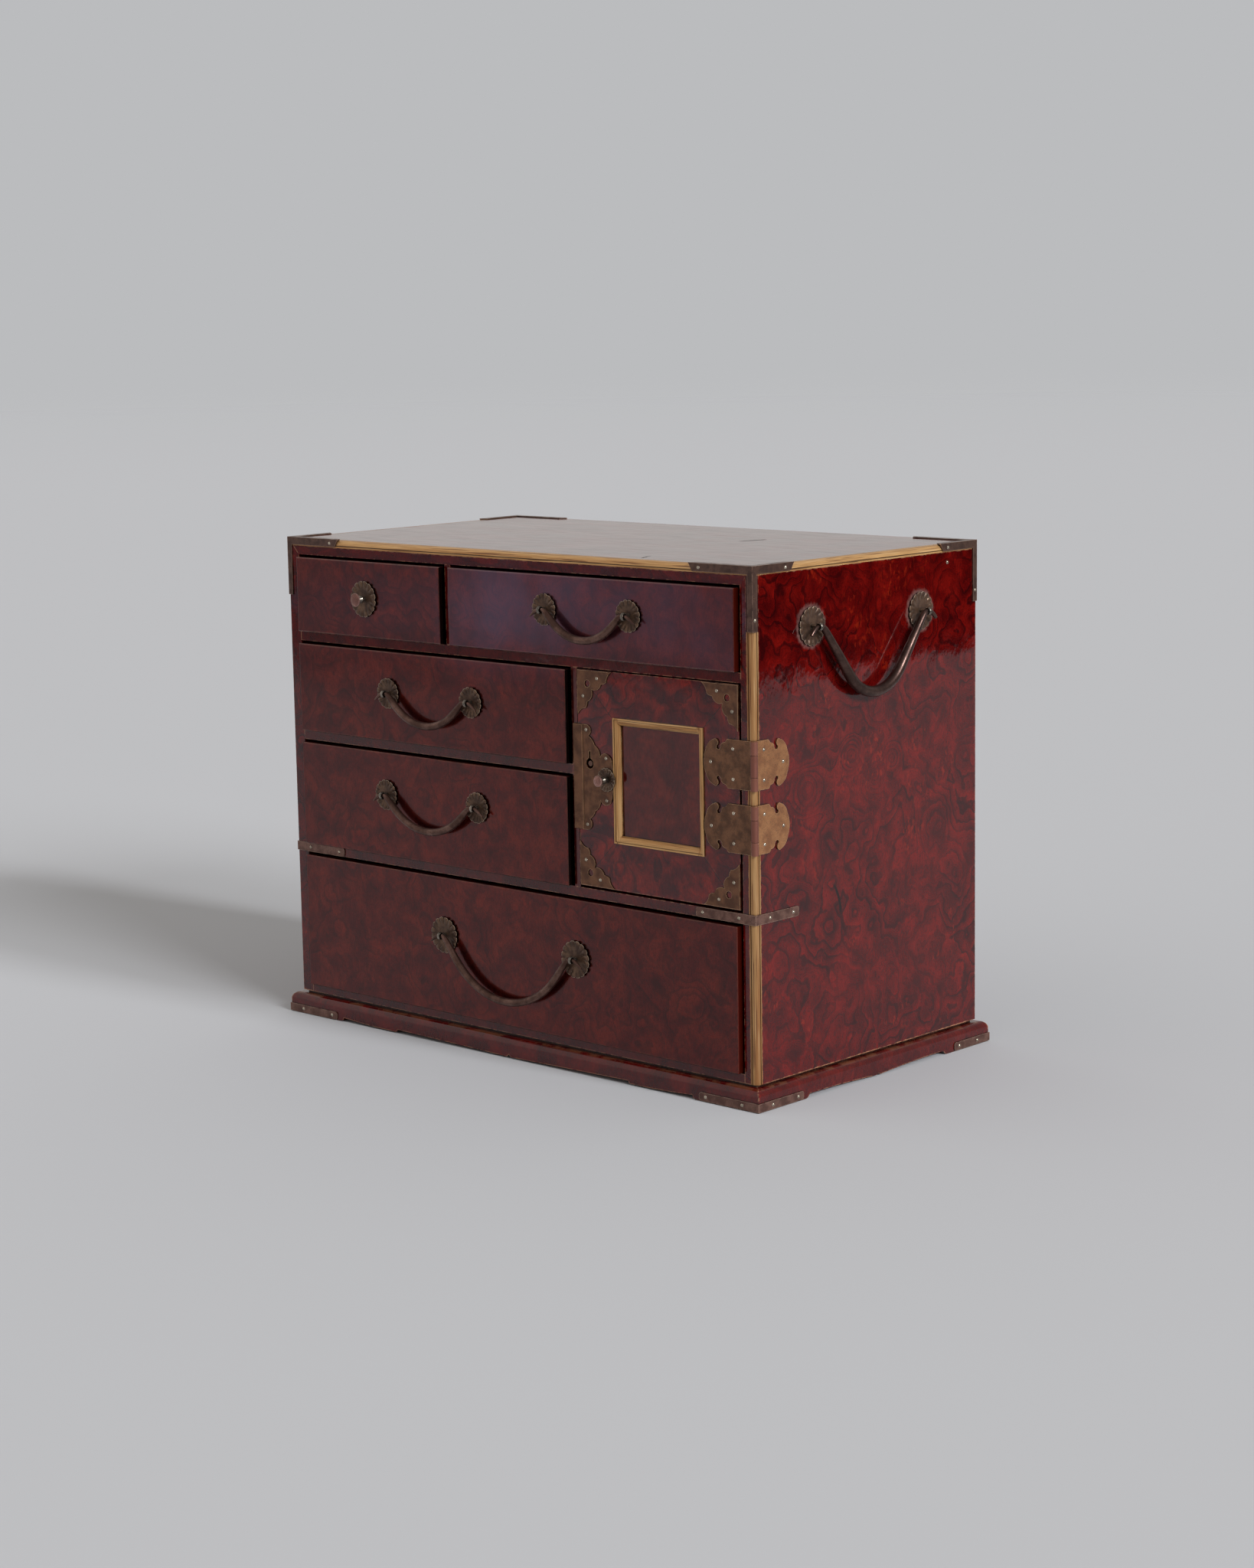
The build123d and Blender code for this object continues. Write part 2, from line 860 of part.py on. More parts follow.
def bolt_slot():
    half = bolt_thick / 2 + bolt_play
    return block(
        door_left - overrun,
        lock_case_left + case_wall + bolt_play,
        bolt_y - half,
        bolt_y + half,
        bolt_bottom - bolt_play,
        bolt_bottom + bolt_height + bolt_play,
    )


def lock_case():
    """A thin case round the bolt, with the pin that the key turns on."""
    x0 = lock_case_left
    x1 = x0 + case_length
    z1 = case_floor + case_height
    case = block(x0, x1, lock_case_front, lock_case_back, case_floor, z1)
    hollow = block(
        x0 + case_wall,
        x1 - case_wall,
        lock_case_front + case_wall,
        lock_case_back - case_wall,
        case_floor + case_wall,
        z1 - case_wall,
    )
    length = lock_case_back - door_face_y
    pin = Cylinder(key_pin, length, align=(Align.CENTER, Align.CENTER, Align.MAX))
    pin = DOOR * (Pos(keyhole_x, keyhole_z, 0) * pin)
    return (case - hollow - keyhole(door_thick - case_wall)) - bolt_slot() + pin


def bolt():
    half = bolt_thick / 2
    return block(
        bolt_left,
        bolt_left + bolt_length,
        bolt_y - half,
        bolt_y + half,
        bolt_bottom,
        bolt_bottom + bolt_height,
    )


def strike_room(margin, x0, x1, z_margin):
    half = bolt_thick / 2
    return block(
        x0,
        x1,
        bolt_y - half - margin,
        bolt_y + half + margin,
        bolt_bottom - z_margin,
        bolt_bottom + bolt_height + z_margin,
    )


def strike_mouth():
    play = 2 * bolt_play
    left = partition_right - strike_thick - mortise_depth
    return strike_room(play, left, partition_right + overrun, play)


def strike_recess(x1):
    margin = (strike_margin - bolt_thick) / 2
    return strike_room(margin, partition_right - strike_thick, x1, strike_margin)


# Rosettes, knobs, eye posts and bails, drawn about the local origin on a wall that faces -Y


def rosette(radius, hole):
    """A dished disc with a scalloped rim, its back at the wall."""
    petal = radius * math.sin(math.pi / petal_count)
    ring = radius - petal
    face = Circle(ring)
    for i in range(petal_count):
        turn = 2 * math.pi * i / petal_count
        face = face + Pos(ring * math.cos(turn), ring * math.sin(turn)) * Circle(petal)
    star = extrude(Plane.XZ * face, rosette_thick + rosette_dish + overrun)
    foot = radius * rosette_foot_share
    rim = radius + petal
    profile = outline(
        (0, 0),
        (foot, 0),
        (rim, rosette_dish),
        (rim, rosette_dish + rosette_thick),
        (foot, rosette_thick),
        (0, rosette_thick),
    )
    dish = revolve(Plane.XY * profile, Axis.Y)
    dish = mirror(dish, about=Plane.XZ)
    bore = Rot(90, 0, 0) * Cylinder(hole + fit, 2 * overrun)
    return (star & dish) - bore


def knob(length, cap, thick_behind):
    """A turned knob with a beaded waist and a low domed cap, its shank through the board behind."""
    middle = length * knob_waist_share
    rim = length - knob_cap_dome
    under_cap = length - knob_cap_thick
    profile = outline(
        (0, -thick_behind),
        (knob_neck, -thick_behind),
        (knob_neck, middle - knob_bead),
        ((knob_waist, middle), (knob_neck, middle + knob_bead)),
        (knob_neck, under_cap),
        (cap, under_cap),
        (cap, rim),
        dome(cap, rim, knob_cap_dome),
    )
    return mirror(revolve(Plane.XY * profile, Axis.Y), about=Plane.XZ)


def turned_rod(radius, length):
    """A round rod from the origin towards +Y."""
    low = (Align.CENTER, Align.CENTER, Align.MIN)
    return Rot(-90, 0, 0) * Cylinder(radius, length, align=low)


def eye_post(out, board):
    """An eye on a split shank that passes through the board and is clinched behind it."""
    outer = eye_hole + eye_wall
    turn = Rot(0, 90, 0)
    eye = Pos(0, -out, 0) * turn * Cylinder(outer, eye_width)
    shank = Pos(0, -out, 0) * turned_rod(post_shank, out + board)
    legs = block(
        -post_shank, post_shank, board, board + clinch_thick, -clinch_length, clinch_length
    )
    hole = Pos(0, -out, 0) * turn * Cylinder(eye_hole, eye_width + overrun)
    return eye + shank + legs - hole


def post_bore(board, radius=post_shank):
    """The hole that a shank needs through the board behind its rosette."""
    return Rot(90, 0, 0) * Cylinder(radius + fit, 2 * (board + overrun))


def ball(p, radius):
    return Pos(*p) * Sphere(radius)


def rod(p, q, p_radius, q_radius):
    """A round rod from p to q, thinning on the way if its two radii differ."""
    start = Vector(*p)
    run = Vector(*q) - start
    plane = Plane(origin=start, z_dir=run)
    low = (Align.CENTER, Align.CENTER, Align.MIN)
    if p_radius == q_radius:
        return plane * Cylinder(p_radius, run.length, align=low)
    return plane * Cone(p_radius, q_radius, run.length, align=low)


def bail(span, sag, thick, end, bow_share):
    """A bail hung on the local x axis from eyes at -span/2 and span/2: a round bow, two straight
    legs that thin towards the eyes, a pin through each eye and a pointed tail beyond it."""
    knee_x = span / 2 - pin_reach
    bow = bow_share * (knee_x**2 + sag**2) / (2 * sag)
    centre_z = bow - sag
    leg_turn = math.atan2(-centre_z, knee_x) - math.acos(bow / math.hypot(knee_x, centre_z))
    radial = (math.cos(leg_turn), math.sin(leg_turn))
    touch = (bow * radial[0], 0, centre_z + bow * radial[1])
    section = Plane(origin=touch, z_dir=(-radial[1], 0, radial[0])) * Circle(thick)
    bow_axis = Axis((0, 0, centre_z), (0, 1, 0))
    shape = revolve(section, bow_axis, 180 + 2 * math.degrees(leg_turn))
    tail = pin_reach + tail_length
    for side in (1, -1):
        low = (side * touch[0], 0, touch[2])
        knee = (side * knee_x, 0, 0)
        heel = (side * (span / 2 + eye_width), 0, 0)
        tip = (side * (span / 2 + tail), 0, -tail_slope_share * tail)
        shape = shape + ball(low, thick) + rod(low, knee, thick, end) + ball(knee, end)
        shape = shape + rod(knee, heel, pin_radius, pin_radius)
        shape = shape + ball(heel, pin_radius) + rod(heel, tip, pin_radius, tail_tip)
    return shape


# Drawers: clear opening (left, right, bottom, top), pull span, shift, rise and sag.
# A span of zero is a single knob.

drawers = {
    "upper_left": {
        "opening": (-inner_x, divider_left, upper_shelf_top, top_under),
        "span": 0,
        "shift": -1.6,
        "rise": 0.4,
        "sag": 0,
    },
    "upper_right": {
        "opening": (divider_right, inner_x, upper_shelf_top, top_under),
        "span": 62.3,
        "shift": 1.5,
        "rise": 3.0,
        "sag": 14.8,
    },
    "middle": {
        "opening": (-inner_x, partition_left, middle_shelf_top, upper_shelf),
        "span": 67.7,
        "shift": 2.1,
        "rise": 2.0,
        "sag": 15.9,
    },
    "lower": {
        "opening": (-inner_x, partition_left, lower_shelf_top, middle_shelf),
        "span": 74.9,
        "shift": 1.8,
        "rise": 6.0,
        "sag": 17.3,
    },
    "bottom": {
        "opening": (-inner_x, inner_x, floor_top, lower_shelf),
        "span": 104.0,
        "shift": 1.1,
        "rise": 6.4,
        "sag": 31.0,
    },
}
drawer_face_y = front_y - front_proud
drawer_inner_y = drawer_face_y + front_thick


def pull_spots(drawer):
    """The middle of the pull and the places of its rosettes on the drawer's face."""
    left, right, bottom, top = drawer["opening"]
    x = (left + right) / 2 + drawer["shift"]
    z = (bottom + slide_gap + top - front_top_gap) / 2 + drawer["rise"]
    offsets = (0,) if drawer["span"] == 0 else (-drawer["span"] / 2, drawer["span"] / 2)
    return x, z, [Pos(x + dx, drawer_face_y, z) for dx in offsets]


def build_drawer(name, drawer):
    left, right, bottom, top = drawer["opening"]
    x, z, spots = pull_spots(drawer)
    floor = bottom + slide_gap
    front = block(
        left + front_side_gap,
        right - front_side_gap,
        drawer_face_y,
        drawer_inner_y,
        floor,
        top - front_top_gap,
    )
    shank = knob_neck if drawer["span"] == 0 else post_shank
    for spot in spots:
        front = front - spot * post_bore(front_thick, shank)
    x0, x1 = left + box_gap, right - box_gap
    y1 = back_inner - box_back_gap
    z0 = floor + box_bottom
    z1 = top - box_top_drop
    sides = [
        block(x0, x0 + box_board, drawer_inner_y, y1, z0, z1),
        block(x1 - box_board, x1, drawer_inner_y, y1, z0, z1),
        block(x0 + box_board, x1 - box_board, y1 - box_board, y1, z0, z1),
    ]
    parts[f"{name}_drawer_front"] = front
    parts[f"{name}_drawer_sides"] = group(sides)
    parts[f"{name}_drawer_bottom"] = block(x0, x1, drawer_inner_y, y1, floor, z0)
    large = name == "upper_left" or name == "bottom"
    plate = rosette(large_rosette if large else pull_rosette, shank)
    if drawer["span"] == 0:
        turned = knob(knob_length, knob_cap, front_thick)
        parts[f"{name}_drawer_knob"] = group([spots[0] * plate, spots[0] * turned])
        return
    post = eye_post(eye_out, front_thick)
    mounts = [spot * piece for spot in spots for piece in (plate, post)]
    parts[f"{name}_drawer_bail_mounts"] = group(mounts)
    hung = bail(drawer["span"], drawer["sag"], bail_rod, bail_end, bail_bow_share)
    parts[f"{name}_drawer_bail"] = Pos(x, drawer_face_y - eye_out, z) * hung


# Put the case together

corner_holes = corner_nails(nail_hole)
end_holes = end_leaf_nails(nail_hole)
case_holes = corner_holes + end_holes

handle_z = plinth_height + handle_height
END = Pos(right_x, middle_y + handle_shift, handle_z) * Rot(0, 0, 90)
handle_offsets = (-handle_span / 2, handle_span / 2)
handle_bores = [END * Pos(dx, 0, 0) * post_bore(wall) for dx in handle_offsets]

right_board = end_board()
left_board = mirror(right_board, about=Plane.YZ)
for rebate in bead_rebates():
    right_board = right_board - rebate
    left_board = left_board - rebate
left_bores = [mirror(bore, about=Plane.YZ) for bore in handle_bores]
parts["end_board_right"] = drilled(right_board, case_holes + handle_bores)
parts["end_board_left"] = drilled(left_board, corner_holes + left_bores)

lid = top_board()
for rebate in bead_rebates():
    lid = lid - rebate
parts["top_board"] = drilled(lid, corner_holes)
parts["bottom_board"] = block(-inner_x, inner_x, front_y, back_y, case_bottom, floor_top)
parts["back_panel"] = block(-inner_x, inner_x, back_inner, back_y, floor_top, top_under)
lower_board = block(-inner_x, inner_x, front_y, back_inner, lower_shelf, lower_shelf_top)
parts["lower_shelf"] = drilled(lower_board, corner_holes)
parts["middle_shelf"] = block(
    -inner_x, partition_left, front_y, back_inner, middle_shelf, middle_shelf_top
)
parts["upper_shelf"] = block(
    -inner_x, inner_x, front_y, back_inner, upper_shelf, upper_shelf_top
)
parts["upper_divider"] = block(
    divider_left, divider_right, front_y, back_inner, upper_shelf_top, top_under
)
partition = block(
    partition_left, partition_right, front_y, back_inner, lower_shelf_top, upper_shelf
)
parts["partition"] = partition - strike_mouth() - strike_recess(partition_right + overrun)
parts["lock_strike"] = strike_recess(partition_right) - strike_mouth()
parts["edge_beads"] = group(drilled(bead, case_holes) for bead in beads())

for name, board in plinth_boards().items():
    parts[name] = drilled(board, corner_holes)

bracket = top_bracket()
brackets = four_corners([bracket], [bracket])
parts["top_corner_brackets"] = group(drilled(shape, corner_holes) for shape in brackets)
waist = corner_strap(*waist_place, waist_strap_width)
parts["waist_straps"] = group(drilled(shape, corner_holes) for shape in mirrored_pair(waist))
front_strap = corner_strap(*plinth_place(plinth_side_arm), plinth_strap_width)
rear_strap = corner_strap(*plinth_place(plinth_rear_arm), plinth_strap_width)
straps = four_corners([front_strap], [rear_strap])
parts["plinth_straps"] = group(drilled(shape, corner_holes) for shape in straps)
parts["case_nails"] = group(corner_nails(nail) + end_leaf_nails(nail))
parts["hinge_end_leaves"] = group(drilled(end_leaf(z), end_holes) for z in hinge_heights)
parts["hinge_pins"] = group(hinge_pin_at(z) for z in hinge_heights)

end_plate = rosette(large_rosette, post_shank)
end_post = eye_post(handle_out, wall)
right_mounts = [END * Pos(dx, 0, 0) * piece for dx in handle_offsets for piece in (end_plate, end_post)]
parts["handle_mounts"] = group(copy for one in right_mounts for copy in mirrored_pair(one))
handle = bail(handle_span, handle_sag, handle_rod, handle_end, handle_bow_share)
right_handle = END * Pos(0, -handle_out, 0) * handle
parts["right_handle"] = right_handle
parts["left_handle"] = mirror(right_handle, about=Plane.YZ)

# The five drawers

for name, drawer in drawers.items():
    build_drawer(name, drawer)

# The door

door_holes = door_leaf_nails(nail_hole) + corner_plate_nails(nail_hole) + lock_nails(nail_hole)
knob_spot = Pos(door_knob_x, door_face_y - plate_thick, lock_height)
knob_bore = knob_spot * post_bore(door_thick, knob_neck)
frame = door_frame()
frame = [drilled(bar, door_holes + lock_pocket() + [keyhole(door_thick), knob_bore]) for bar in frame]
parts["door_frame"] = group(frame)
parts["door_panel"] = door_panel()
parts["door_moulding"] = group(moulding())
parts["door_corner_plates"] = group(drilled(plate, door_holes) for plate in corner_plates())
parts["lock_plate"] = drilled(lock_plate(), door_holes + [knob_bore])
parts["lock_cover_strip"] = cover_strip()
parts["lock_case"] = lock_case()
parts["lock_bolt"] = bolt()
door_turned = knob(door_knob_length, door_knob_cap, door_thick)
parts["door_knob"] = group(
    [knob_spot * rosette(door_knob_rosette, knob_neck), knob_spot * door_turned]
)
parts["hinge_door_leaves"] = group(drilled(door_leaf(z), door_holes) for z in hinge_heights)
parts["door_nails"] = group(
    door_leaf_nails(nail) + corner_plate_nails(nail) + lock_nails(nail)
)

os.makedirs("parts", exist_ok=True)
for name, shape in parts.items():
    export_step(shape, f"parts/{name}.step")
print(len(parts), "nodes")
print("front", round(front_y, 3), "back", round(back_y, 3), "top", round(case_top, 3))
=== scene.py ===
# %% [markdown]
# # A lacquered merchant's chest
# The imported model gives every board, drawer and fitting in its true place. This script dresses it:
# lacquer over burl, worn gilt, brown metalwork, and a plain studio round it. All lengths are in
# metres, the floor is at z = 0, and the drawers face -Y.

# %% Load the model
import json
import math
import bmesh
import bpy
from mathutils import Matrix, Vector

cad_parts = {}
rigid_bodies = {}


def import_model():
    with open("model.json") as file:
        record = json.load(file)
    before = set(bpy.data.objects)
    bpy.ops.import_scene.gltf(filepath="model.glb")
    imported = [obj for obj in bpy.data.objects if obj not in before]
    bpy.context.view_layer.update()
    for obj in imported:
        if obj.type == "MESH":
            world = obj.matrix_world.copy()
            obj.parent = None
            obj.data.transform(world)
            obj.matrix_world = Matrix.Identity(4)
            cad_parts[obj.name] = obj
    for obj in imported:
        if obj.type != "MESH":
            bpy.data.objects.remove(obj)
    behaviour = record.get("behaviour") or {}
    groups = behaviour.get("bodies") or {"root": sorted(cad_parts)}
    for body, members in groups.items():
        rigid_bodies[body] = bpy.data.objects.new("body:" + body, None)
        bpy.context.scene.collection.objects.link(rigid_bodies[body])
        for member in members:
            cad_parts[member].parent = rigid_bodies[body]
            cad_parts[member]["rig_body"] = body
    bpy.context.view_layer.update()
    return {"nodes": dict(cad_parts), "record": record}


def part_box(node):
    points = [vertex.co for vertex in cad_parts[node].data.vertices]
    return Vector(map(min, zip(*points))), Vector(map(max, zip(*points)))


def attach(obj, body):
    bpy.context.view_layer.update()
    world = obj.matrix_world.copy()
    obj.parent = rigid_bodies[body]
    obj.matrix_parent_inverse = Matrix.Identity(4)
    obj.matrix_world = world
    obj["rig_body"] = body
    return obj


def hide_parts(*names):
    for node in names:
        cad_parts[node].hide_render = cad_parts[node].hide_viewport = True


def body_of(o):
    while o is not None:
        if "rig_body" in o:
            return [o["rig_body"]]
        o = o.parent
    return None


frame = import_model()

NODES = frame["nodes"]
MM = 0.001
print("loaded", len(NODES), "nodes")

# %% [markdown]
# ## Camera
# The camera stands to the right of the chest and a little above it. Its place, turn and focal
# length come from fitting the corners of the body, so the frame of the picture can be trusted when
# the render is laid beside the photograph. The slight roll is the photographer's.

# %% Camera
CAMERA_PLACE = Vector((1.19771, -1.28246, 0.42953))
AZIMUTH, ELEVATION, ROLL = (math.radians(a) for a in (42.969, 9.235, -0.98))
SENSOR_HEIGHT, FOCAL_LENGTH = 36, 70.25  # in millimetres, as Blender has them

back = Vector((
    math.sin(AZIMUTH) * math.cos(ELEVATION),
    -math.cos(AZIMUTH) * math.cos(ELEVATION),
    math.sin(ELEVATION),
))
level_right = Vector((math.cos(AZIMUTH), math.sin(AZIMUTH), 0))
level_up = back.cross(level_right)
right = math.cos(ROLL) * level_right + math.sin(ROLL) * level_up
up = math.cos(ROLL) * level_up - math.sin(ROLL) * level_right

lens = bpy.data.cameras.new("camera")
lens.sensor_fit = "VERTICAL"
lens.sensor_height = SENSOR_HEIGHT
lens.lens = FOCAL_LENGTH
camera = bpy.data.objects.new("camera", lens)
turn = Matrix((right, up, back)).transposed().to_4x4()
camera.matrix_world = Matrix.Translation(CAMERA_PLACE) @ turn
bpy.context.scene.collection.objects.link(camera)
bpy.context.scene.camera = camera
bpy.context.scene.view_settings.view_transform = "Standard"
print("camera at", [round(v, 3) for v in CAMERA_PLACE])

# %% [markdown]
# ## Shader helpers
# Every finish below is a small tree of shader nodes. These helpers keep the trees short: most of
# them add one node, set or link its inputs, and return an output. The scale of a pattern is a
# count of features in a metre.

# %% Helpers for shader trees
def put(tree, kind, inputs=None, out=0, **settings):
    """Add a shader node, set its settings and inputs, and return one of its outputs."""
    made = tree.nodes.new("ShaderNode" + kind)
    for name, value in settings.items():
        setattr(made, name, value)
    for name, value in (inputs or {}).items():
        if isinstance(value, bpy.types.NodeSocket):
            tree.links.new(value, made.inputs[name])
        else:
            made.inputs[name].default_value = value
    return made.outputs[out]


def mix(tree, share, a, b):
    """A colour between a and b."""
    return put(tree, "Mix", {0: share, 6: a, 7: b}, out=2, data_type="RGBA")


def math_of(tree, operation, a, b=0.0, c=0.0):
    return put(tree, "Math", {0: a, 1: b, 2: c}, operation=operation)


def times(tree, a, b):
    return math_of(tree, "MULTIPLY", a, b)


def size_of(tree, value):
    return math_of(tree, "ABSOLUTE", value)


def ramp(tree, value, low, high, to_low=0.0, to_high=1.0):
    """value from low..high onto to_low..to_high, smoothly and clamped."""
    inputs = {"Value": value, 1: low, 2: high, 3: to_low, 4: to_high}
    return put(tree, "MapRange", inputs, interpolation_type="SMOOTHSTEP")


def noise(tree, where, scale, detail=2.0, rough=0.5, distortion=0.0, out=0):
    inputs = {
        "Vector": where, "Scale": scale, "Detail": detail,
        "Roughness": rough, "Distortion": distortion,
    }
    return put(tree, "TexNoise", inputs, out=out)


def here(tree):
    """The point itself, in Object coordinates."""
    return put(tree, "TexCoord", out=3)


def place(tree, scale=(1, 1, 1), shift=(0, 0, 0)):
    """Object coordinates, stretched and moved."""
    return put(tree, "Mapping", {"Vector": here(tree), "Scale": scale, "Location": shift})


def axis_of(tree, index):
    """One of the point's coordinates."""
    return put(tree, "SeparateXYZ", {"Vector": here(tree)}, out=index)


def facing(tree, index):
    """How far the surface faces along an axis, from -1 to 1."""
    return put(tree, "SeparateXYZ", {"Vector": put(tree, "NewGeometry", out=1)}, out=index)


def vector_of(tree, operation, a, b, c=(0, 0, 0)):
    return put(tree, "VectorMath", {0: a, 1: b, 2: c}, operation=operation)


def measure(tree, operation, a, b=(0, 0, 0)):
    """A number from vectors: their DISTANCE or DOT_PRODUCT, or a's LENGTH."""
    return put(tree, "VectorMath", {0: a, 1: b}, out=1, operation=operation)


def bump(tree, height, depth, normal=None):
    """A normal for a surface that is raised by height times depth, in metres."""
    inputs = {"Height": height, "Distance": depth}
    if normal is not None:
        inputs["Normal"] = normal
    return put(tree, "Bump", inputs)


# %% Helpers for finishes
def rgb(r, g, b):
    """A colour given from 0 to 255, made linear."""
    def linear(v):
        v /= 255
        return v / 12.92 if v <= 0.04045 else ((v + 0.055) / 1.055) ** 2.4
    return (linear(r), linear(g), linear(b), 1.0)


FINISHES = {}


def new_finish(name):
    """Start a finish with one principled shader, and return its tree and that shader."""
    finish = FINISHES[name] = bpy.data.materials.new(name)
    finish.use_nodes = True
    tree = finish.node_tree
    return tree, next(n for n in tree.nodes if n.type == "BSDF_PRINCIPLED")


def wire(tree, shader, **inputs):
    """Link or set inputs of the principled shader; underscores stand for spaces."""
    for name, value in inputs.items():
        socket = shader.inputs[name.replace("_", " ")]
        if isinstance(value, bpy.types.NodeSocket):
            tree.links.new(value, socket)
        else:
            socket.default_value = value


def chalky(name, colour):
    """A finish without any gloss."""
    tree, shader = new_finish(name)
    wire(tree, shader, Base_Color=colour, Roughness=1.0, Specular_IOR_Level=0.0)
    return tree, shader


def fade_out(tree, shader, share):
    """Let a finish turn clear where share is 1."""
    inputs = {0: share, 1: shader.outputs[0], 2: put(tree, "BsdfTransparent")}
    shown = put(tree, "MixShader", inputs)
    tree.links.new(shown, tree.nodes["Material Output"].inputs["Surface"])


def dress(piece, finish):
    """Give a piece one finish, by name."""
    piece.data.materials.clear()
    piece.data.materials.append(FINISHES[finish])


# %% [markdown]
# ## Studio
# The floor and the background have one and the same pale grey, and the floor thins out to nothing
# between four and fourteen metres away, so the horizon can't be seen. A broad lamp stands far to
# the right and fairly low, split in two so that the shadow on the floor fans out softly. It lights
# the end of the chest, grazes the top, and leaves the drawers to the soft light that comes from all
# round, as in the photograph.
#
# Polished lacquer shows its surroundings. The pale paper on the floor ends about a metre to the
# right of the chest, and the dark floor beyond it gives the upper part of the chest's end its deep
# red. To the front left the paper ends too. There the room is dim, with a cool glow from a far
# window. Only polished surfaces see these two sheets.

# %% Floor
PAPER_GREY = rgb(187, 188, 190)
FLOOR_RADIUS = 40
FLOOR_THINS = (4.0, 14.0)

bpy.ops.object.select_all(action="DESELECT")
bpy.ops.mesh.primitive_circle_add(vertices=96, radius=FLOOR_RADIUS, fill_type="NGON")
floor = bpy.context.object
floor.name = "floor"
tree, shader = chalky("pale_paper", rgb(206, 207, 209))
fade_out(tree, shader, ramp(tree, measure(tree, "LENGTH", here(tree)), *FLOOR_THINS))
dress(floor, "pale_paper")
print("floor", len(floor.data.polygons), "face")

# %% Things that only polished surfaces see
GLOW_MIDDLE, GLOW_SQUEEZE = (-1.66, -1.84, 0.0), (0.8, 1.6, 1.0)
GLOW_EDGE, PAPER_EDGE = (0.25, 0.75), (-1.15, -0.85)
RAGGED_SCALE, GLOW_RAGGED, PAPER_RAGGED = 2.4, 0.45, 0.5


def mirrored_sheet(name, middle, length, width):
    """A flat sheet just above the floor that only reflections show."""
    bpy.ops.object.select_all(action="DESELECT")
    bpy.ops.mesh.primitive_plane_add(size=1, location=middle)
    sheet = bpy.context.object
    sheet.name = name
    sheet.scale = (length, width, 1)
    bpy.ops.object.transform_apply(location=True, scale=True)
    sheet.visible_camera = sheet.visible_diffuse = sheet.visible_shadow = False
    sheet.visible_transmission = sheet.visible_volume_scatter = False
    return sheet


dark_floor = mirrored_sheet("dark_floor", middle=(5.29, 2.0, 0.004), length=8.0, width=10.0)
chalky("dark_boards", rgb(22, 14, 14))
dress(dark_floor, "dark_boards")

dim_floor = mirrored_sheet("dim_floor", middle=(-1.5, -3.2, 0.006), length=6.0, width=4.2)
tree, shader = chalky("dim_boards", rgb(138, 134, 136))
ragged = noise(tree, here(tree), RAGGED_SCALE, detail=3)
off = vector_of(tree, "SUBTRACT", here(tree), GLOW_MIDDLE)
off = measure(tree, "LENGTH", vector_of(tree, "MULTIPLY", off, GLOW_SQUEEZE))
reach = math_of(tree, "MULTIPLY_ADD", ragged, GLOW_RAGGED, off)
glow = ramp(tree, reach, *GLOW_EDGE, 1.0, 0.0)
wire(tree, shader, Emission_Color=rgb(184, 182, 222), Emission_Strength=glow)
border = math_of(tree, "MULTIPLY_ADD", ragged, PAPER_RAGGED, axis_of(tree, 1))
fade_out(tree, shader, ramp(tree, border, *PAPER_EDGE))
dress(dim_floor, "dim_boards")
print("mirrored sheets ready")

# %% Lamp
LAMP_COLOUR = (0.97, 0.99, 1.03)


def sun(name, azimuth, height, strength, spread):
    """A far lamp. Azimuth turns from +X towards +Y, in degrees as the others."""
    data = bpy.data.lights.new(name, "SUN")
    data.energy = strength
    data.angle = math.radians(spread)
    data.color = LAMP_COLOUR
    lamp = bpy.data.objects.new(name, data)
    azimuth, height = math.radians(azimuth), math.radians(height)
    towards = Vector((
        math.cos(azimuth) * math.cos(height), math.sin(azimuth) * math.cos(height), math.sin(height)
    ))
    lamp.rotation_euler = towards.to_track_quat("Z", "Y").to_euler()
    bpy.context.scene.collection.objects.link(lamp)


sun("broad_lamp", azimuth=2.5, height=27, strength=1.5, spread=8)
sun("broad_lamp_front_half", azimuth=-12, height=26, strength=1.4, spread=18)
print("lamps ready")

# %% [markdown]
# The room is a slightly warm grey. It is brighter behind the chest, where the paper rises, so the
# polished top shows a pale sheen at the camera's flat angle, and brighter to the front left, so the
# bails have a soft dark side. Camera rays see only the paper's grey.

# %% Room
ROOM_COLOUR = (1.0, 0.965, 0.935, 1)
BEHIND, BEFORE = (-0.68, 0.73, 0.05), (-0.74, -0.64, 0.2)
ROOM_DIM, ROOM_BEHIND, ROOM_BEFORE = 0.33, 0.62, 0.34
NEARNESS = (0.3, 0.95)

world = bpy.data.worlds.new("studio")
bpy.context.scene.world = world
world.use_nodes = True
tree = world.node_tree
tree.nodes.clear()
where = put(tree, "TexCoord", out=0)
behind = measure(tree, "DOT_PRODUCT", where, BEHIND)
before = measure(tree, "DOT_PRODUCT", where, BEFORE)
strength = ramp(tree, behind, *NEARNESS, ROOM_DIM, ROOM_BEHIND)
strength = math_of(tree, "ADD", strength, ramp(tree, before, *NEARNESS, 0.0, ROOM_BEFORE))
room = put(tree, "Background", {"Color": ROOM_COLOUR, "Strength": strength})
paper = put(tree, "Background", {"Color": PAPER_GREY, "Strength": 1.0})
both = put(tree, "MixShader", {0: put(tree, "LightPath", out=0), 1: room, 2: paper})
tree.links.new(both, tree.nodes.new("ShaderNodeOutputWorld").inputs["Surface"])
print("room ready")
